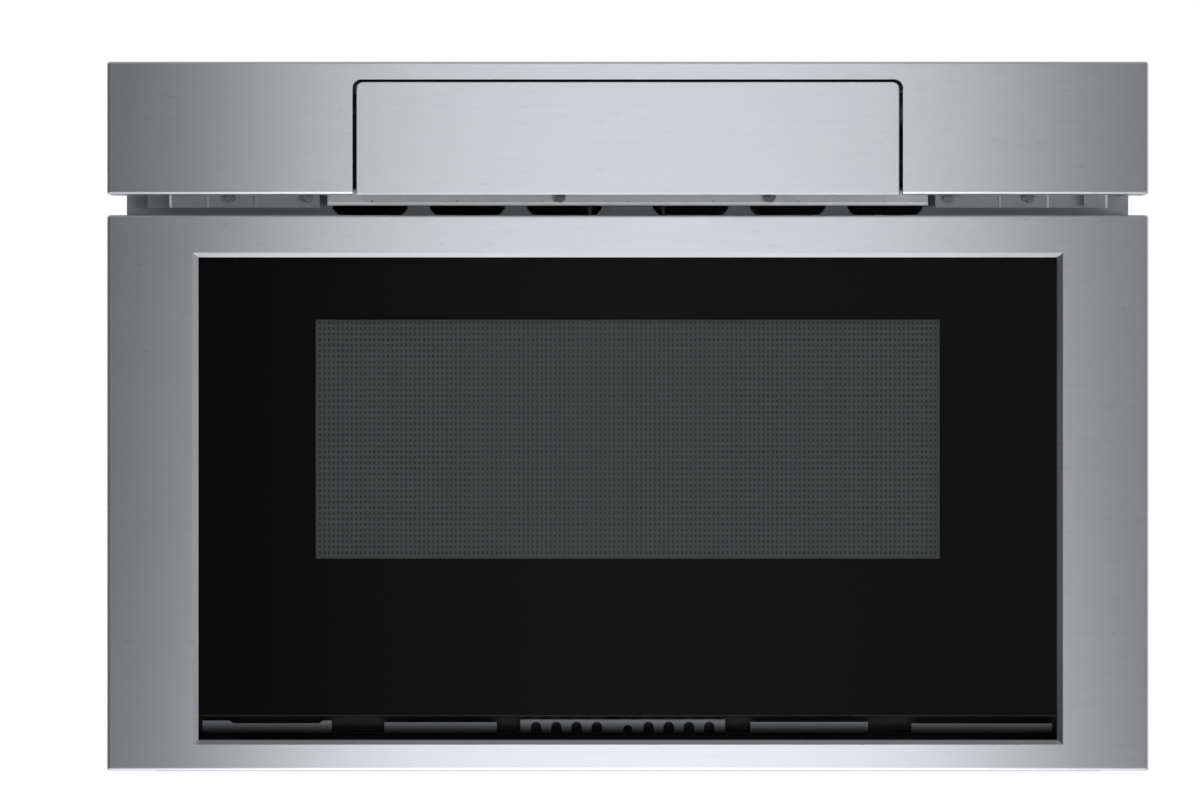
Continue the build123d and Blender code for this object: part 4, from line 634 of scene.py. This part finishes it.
def rounded_front(node, name, body, returns=()):
    """A copy of a front with round corners. Each return has a lower and an upper height and a shift."""
    low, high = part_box(node)
    bm = copy_of(node)
    for turn in (0, 15, 30):
        inset = CORNER_R * (1 - math.tan(math.radians(turn)))
        for side, normal in ((low, -1), (high, 1)):
            corner = side - Vector((inset, 0, inset)) * normal
            for across in ((1, 0, 0), (0, 0, 1)):
                whole = bm.verts[:] + bm.edges[:] + bm.faces[:]
                bmesh.ops.bisect_plane(bm, geom=whole, dist=0.0001 * MM, plane_co=corner, plane_no=across)
    centre = (low + high) / 2
    inner = (high - low) / 2 - Vector((CORNER_R, 0, CORNER_R))
    for v in bm.verts:
        from_x, from_z = v.co.x - centre.x, v.co.z - centre.z
        out_x, out_z = abs(from_x) - inner.x, abs(from_z) - inner.z
        if out_x > 0 and out_z > 0:
            drawn_in = max(out_x, out_z) / math.hypot(out_x, out_z)
            v.co.x = centre.x + math.copysign(inner.x + out_x * drawn_in, from_x)
            v.co.z = centre.z + math.copysign(inner.z + out_z * drawn_in, from_z)
        for least, most, shift in returns:
            if least < v.co.z < most and v.co.y > FRONT + SKIN:
                v.co.z += shift
    made = piece(bm, name, brushed_steel, body)
    made.data.shade_flat()
    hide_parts(node)


WINDOW_RETURNS = ((0.0192, 0.0206, -0.7 * MM), (0.3001, 0.3015, 0.7 * MM))
rounded_front("header_fascia", "header_front", "chassis")
rounded_front("door_frame", "door_front", "drawer", WINDOW_RETURNS)

# %% [markdown]
# ## The strips of the lower air slot
# Five strips stand up from the shelf behind the lower air slot. They are a copy of the solid too, with their
# upper edges a little lower, because the pane's lower edge hides more of them than the solid allows for.

# %% Lower the strips
STRIPS_ABOVE = 0.0302  # only the strips' upper edges are higher than this
STRIP_ENDS = (-0.16, -0.07, 0.06, 0.15, 0.25)  # each strip ends before this X
STRIP_FALLS = (1.3, 1.3, 1.1, 1.3, 2.6)  # in millimetres
bm = copy_of("vent_bracket")
for v in bm.verts:
    if v.co.z > STRIPS_ABOVE:
        strip = [end > v.co.x for end in STRIP_ENDS].index(True)
        v.co.z -= STRIP_FALLS[strip] * MM
strips = piece(bm, "slot_strips", zinc_with_painted_shade, "drawer")
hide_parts("vent_bracket")

# %% [markdown]
# ## The black strip above the flap
# A black strip on the front frame above the flap's housing is painted shade, which keeps the gap over the
# flap dark. It is a grid of one face, extruded and softened at its front edges.

# %% The black strip of painted shade
SHADE_STRIP_HALF, SHADE_STRIP_THICK = 0.157, 0.002
SHADE_STRIP_LOW, SHADE_STRIP_HIGH = 0.4, 0.411
SHADE_STRIP_SOFT = 0.6 * MM
FLANGE_Y = -0.259  # front of the mounting flange
bm = flat_sheet(1.0)
for v in bm.verts:
    v.co = (v.co.x * 2 * SHADE_STRIP_HALF, FLANGE_Y, SHADE_STRIP_LOW + (v.co.y + 0.5) * (SHADE_STRIP_HIGH - SHADE_STRIP_LOW))
front = new_vertices(bmesh.ops.extrude_face_region(bm, geom=bm.faces[:]))
bmesh.ops.translate(bm, verts=front, vec=(0, -SHADE_STRIP_THICK, 0))
edges = [e for e in bm.edges if all(v in front for v in e.verts)]
bmesh.ops.bevel(
    bm, geom=edges, offset=SHADE_STRIP_SOFT, segments=3, profile=0.5, affect="EDGES", material=-1,
)
# Painted shade: a black strip where the gap over the flap is in shade.
piece(bm, "black_strip_of_painted_shade", black_rubber, "chassis")

# %% [markdown]
# ## The perforated screen behind the window
# A microwave door keeps its waves in with a steel sheet full of small holes. The sheet starts as a flat grid
# with one cell for each hole, every cell gets a six-sided hole, and the sheet is drawn back to its
# thickness. Six sides are enough for holes of two millimetres, and keep the sheet under the triangle limit.

# %% The screen's grid
HOLES_X, HOLES_Z = 137, 42
FIELD_HALF = 0.1818  # the window in the print, which the field of holes fills up to a small margin
FIELD_LOW, FIELD_HIGH = 0.1254, 0.2646
MARGIN = 1 * MM
screen_low, screen_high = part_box("window_screen")
pitch_x = 2 * (FIELD_HALF - MARGIN) / HOLES_X
pitch_z = (FIELD_HIGH - FIELD_LOW - 2 * MARGIN) / HOLES_Z
column, row = 1 / (HOLES_X + 2), 1 / (HOLES_Z + 2)
bm = bmesh.new()
bmesh.ops.create_grid(bm, x_segments=HOLES_X + 2, y_segments=HOLES_Z + 2, size=0.5)
for v in bm.verts:
    i, j = round((v.co.x + 0.5) / column), round((v.co.y + 0.5) / row)
    x = -FIELD_HALF + MARGIN + (i - 1) * pitch_x
    z = FIELD_LOW + MARGIN + (j - 1) * pitch_z
    x = screen_low.x if i == 0 else screen_high.x if i == HOLES_X + 2 else x
    z = screen_low.z if j == 0 else screen_high.z if j == HOLES_Z + 2 else z
    v.co = (x, screen_low.y, z)
print("holes every", round(pitch_x / MM, 2), "by", round(pitch_z / MM, 2), "mm")

# %% The screen's holes
HOLE_R = 1.02 * MM
HOLE_TALL = 0.83  # half height of a six-sided hole, as a share of its radius
WEB = 0.4 * MM  # first inset of every cell, before its hole gets its own size
NEAR = 0.01 * MM
holes = []
for f in bm.faces:
    c = f.calc_center_median()
    if abs(c.x) < FIELD_HALF - MARGIN and FIELD_LOW + MARGIN < c.z < FIELD_HIGH - MARGIN:
        holes.append(f)
bmesh.ops.inset_individual(bm, faces=holes, thickness=WEB, depth=0.0)
upright = set()
for f in holes:
    upright.update(e for e in f.edges if abs(e.verts[0].co.x - e.verts[1].co.x) < NEAR)
bmesh.ops.subdivide_edges(bm, edges=list(upright), cuts=1)
for f in holes:
    c = f.calc_center_bounds()
    for v in f.verts:
        dx, dz = v.co.x - c.x, v.co.z - c.z
        if abs(dz) < NEAR:
            v.co = (c.x + math.copysign(HOLE_R, dx), v.co.y, c.z)
        else:
            z = c.z + math.copysign(HOLE_R * HOLE_TALL, dz)
            v.co = (c.x + math.copysign(HOLE_R / 2, dx), v.co.y, z)
bmesh.ops.delete(bm, geom=holes, context="FACES_ONLY")
back = new_vertices(bmesh.ops.extrude_face_region(bm, geom=bm.faces[:]))
bmesh.ops.translate(bm, verts=back, vec=(0, screen_high.y - screen_low.y, 0))
screen = piece(bm, "perforated_screen", screen_steel, "drawer")
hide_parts("window_screen")

# %% [markdown]
# ## The print on the back of the glass
# A black fired print covers the back of the pane except for the window. It is a thin plate: a grid of three
# by three cells whose middle one is the window.

# %% The black print
PRINT_THICK = 0.08 * MM
PRINT_INSIDE = 0.12 * MM  # from the back of the pane to the front of the print
glass_low, glass_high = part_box("door_glass")
bm = bmesh.new()
bmesh.ops.create_grid(bm, x_segments=3, y_segments=3, size=1.5)
columns = (glass_low.x + MARGIN, -FIELD_HALF, FIELD_HALF, glass_high.x - MARGIN)
rows = (glass_low.z + MARGIN, FIELD_LOW, FIELD_HIGH, glass_high.z - MARGIN)
window = [f for f in bm.faces if f.calc_center_median().length < 0.1]
bmesh.ops.delete(bm, geom=window, context="FACES_ONLY")
for v in bm.verts:
    v.co = (columns[round(v.co.x + 1.5)], glass_high.y - PRINT_INSIDE, rows[round(v.co.y + 1.5)])
back = new_vertices(bmesh.ops.extrude_face_region(bm, geom=bm.faces[:]))
bmesh.ops.translate(bm, verts=back, vec=(0, PRINT_THICK, 0))
piece(bm, "glass_back_print", glass_print, "drawer")
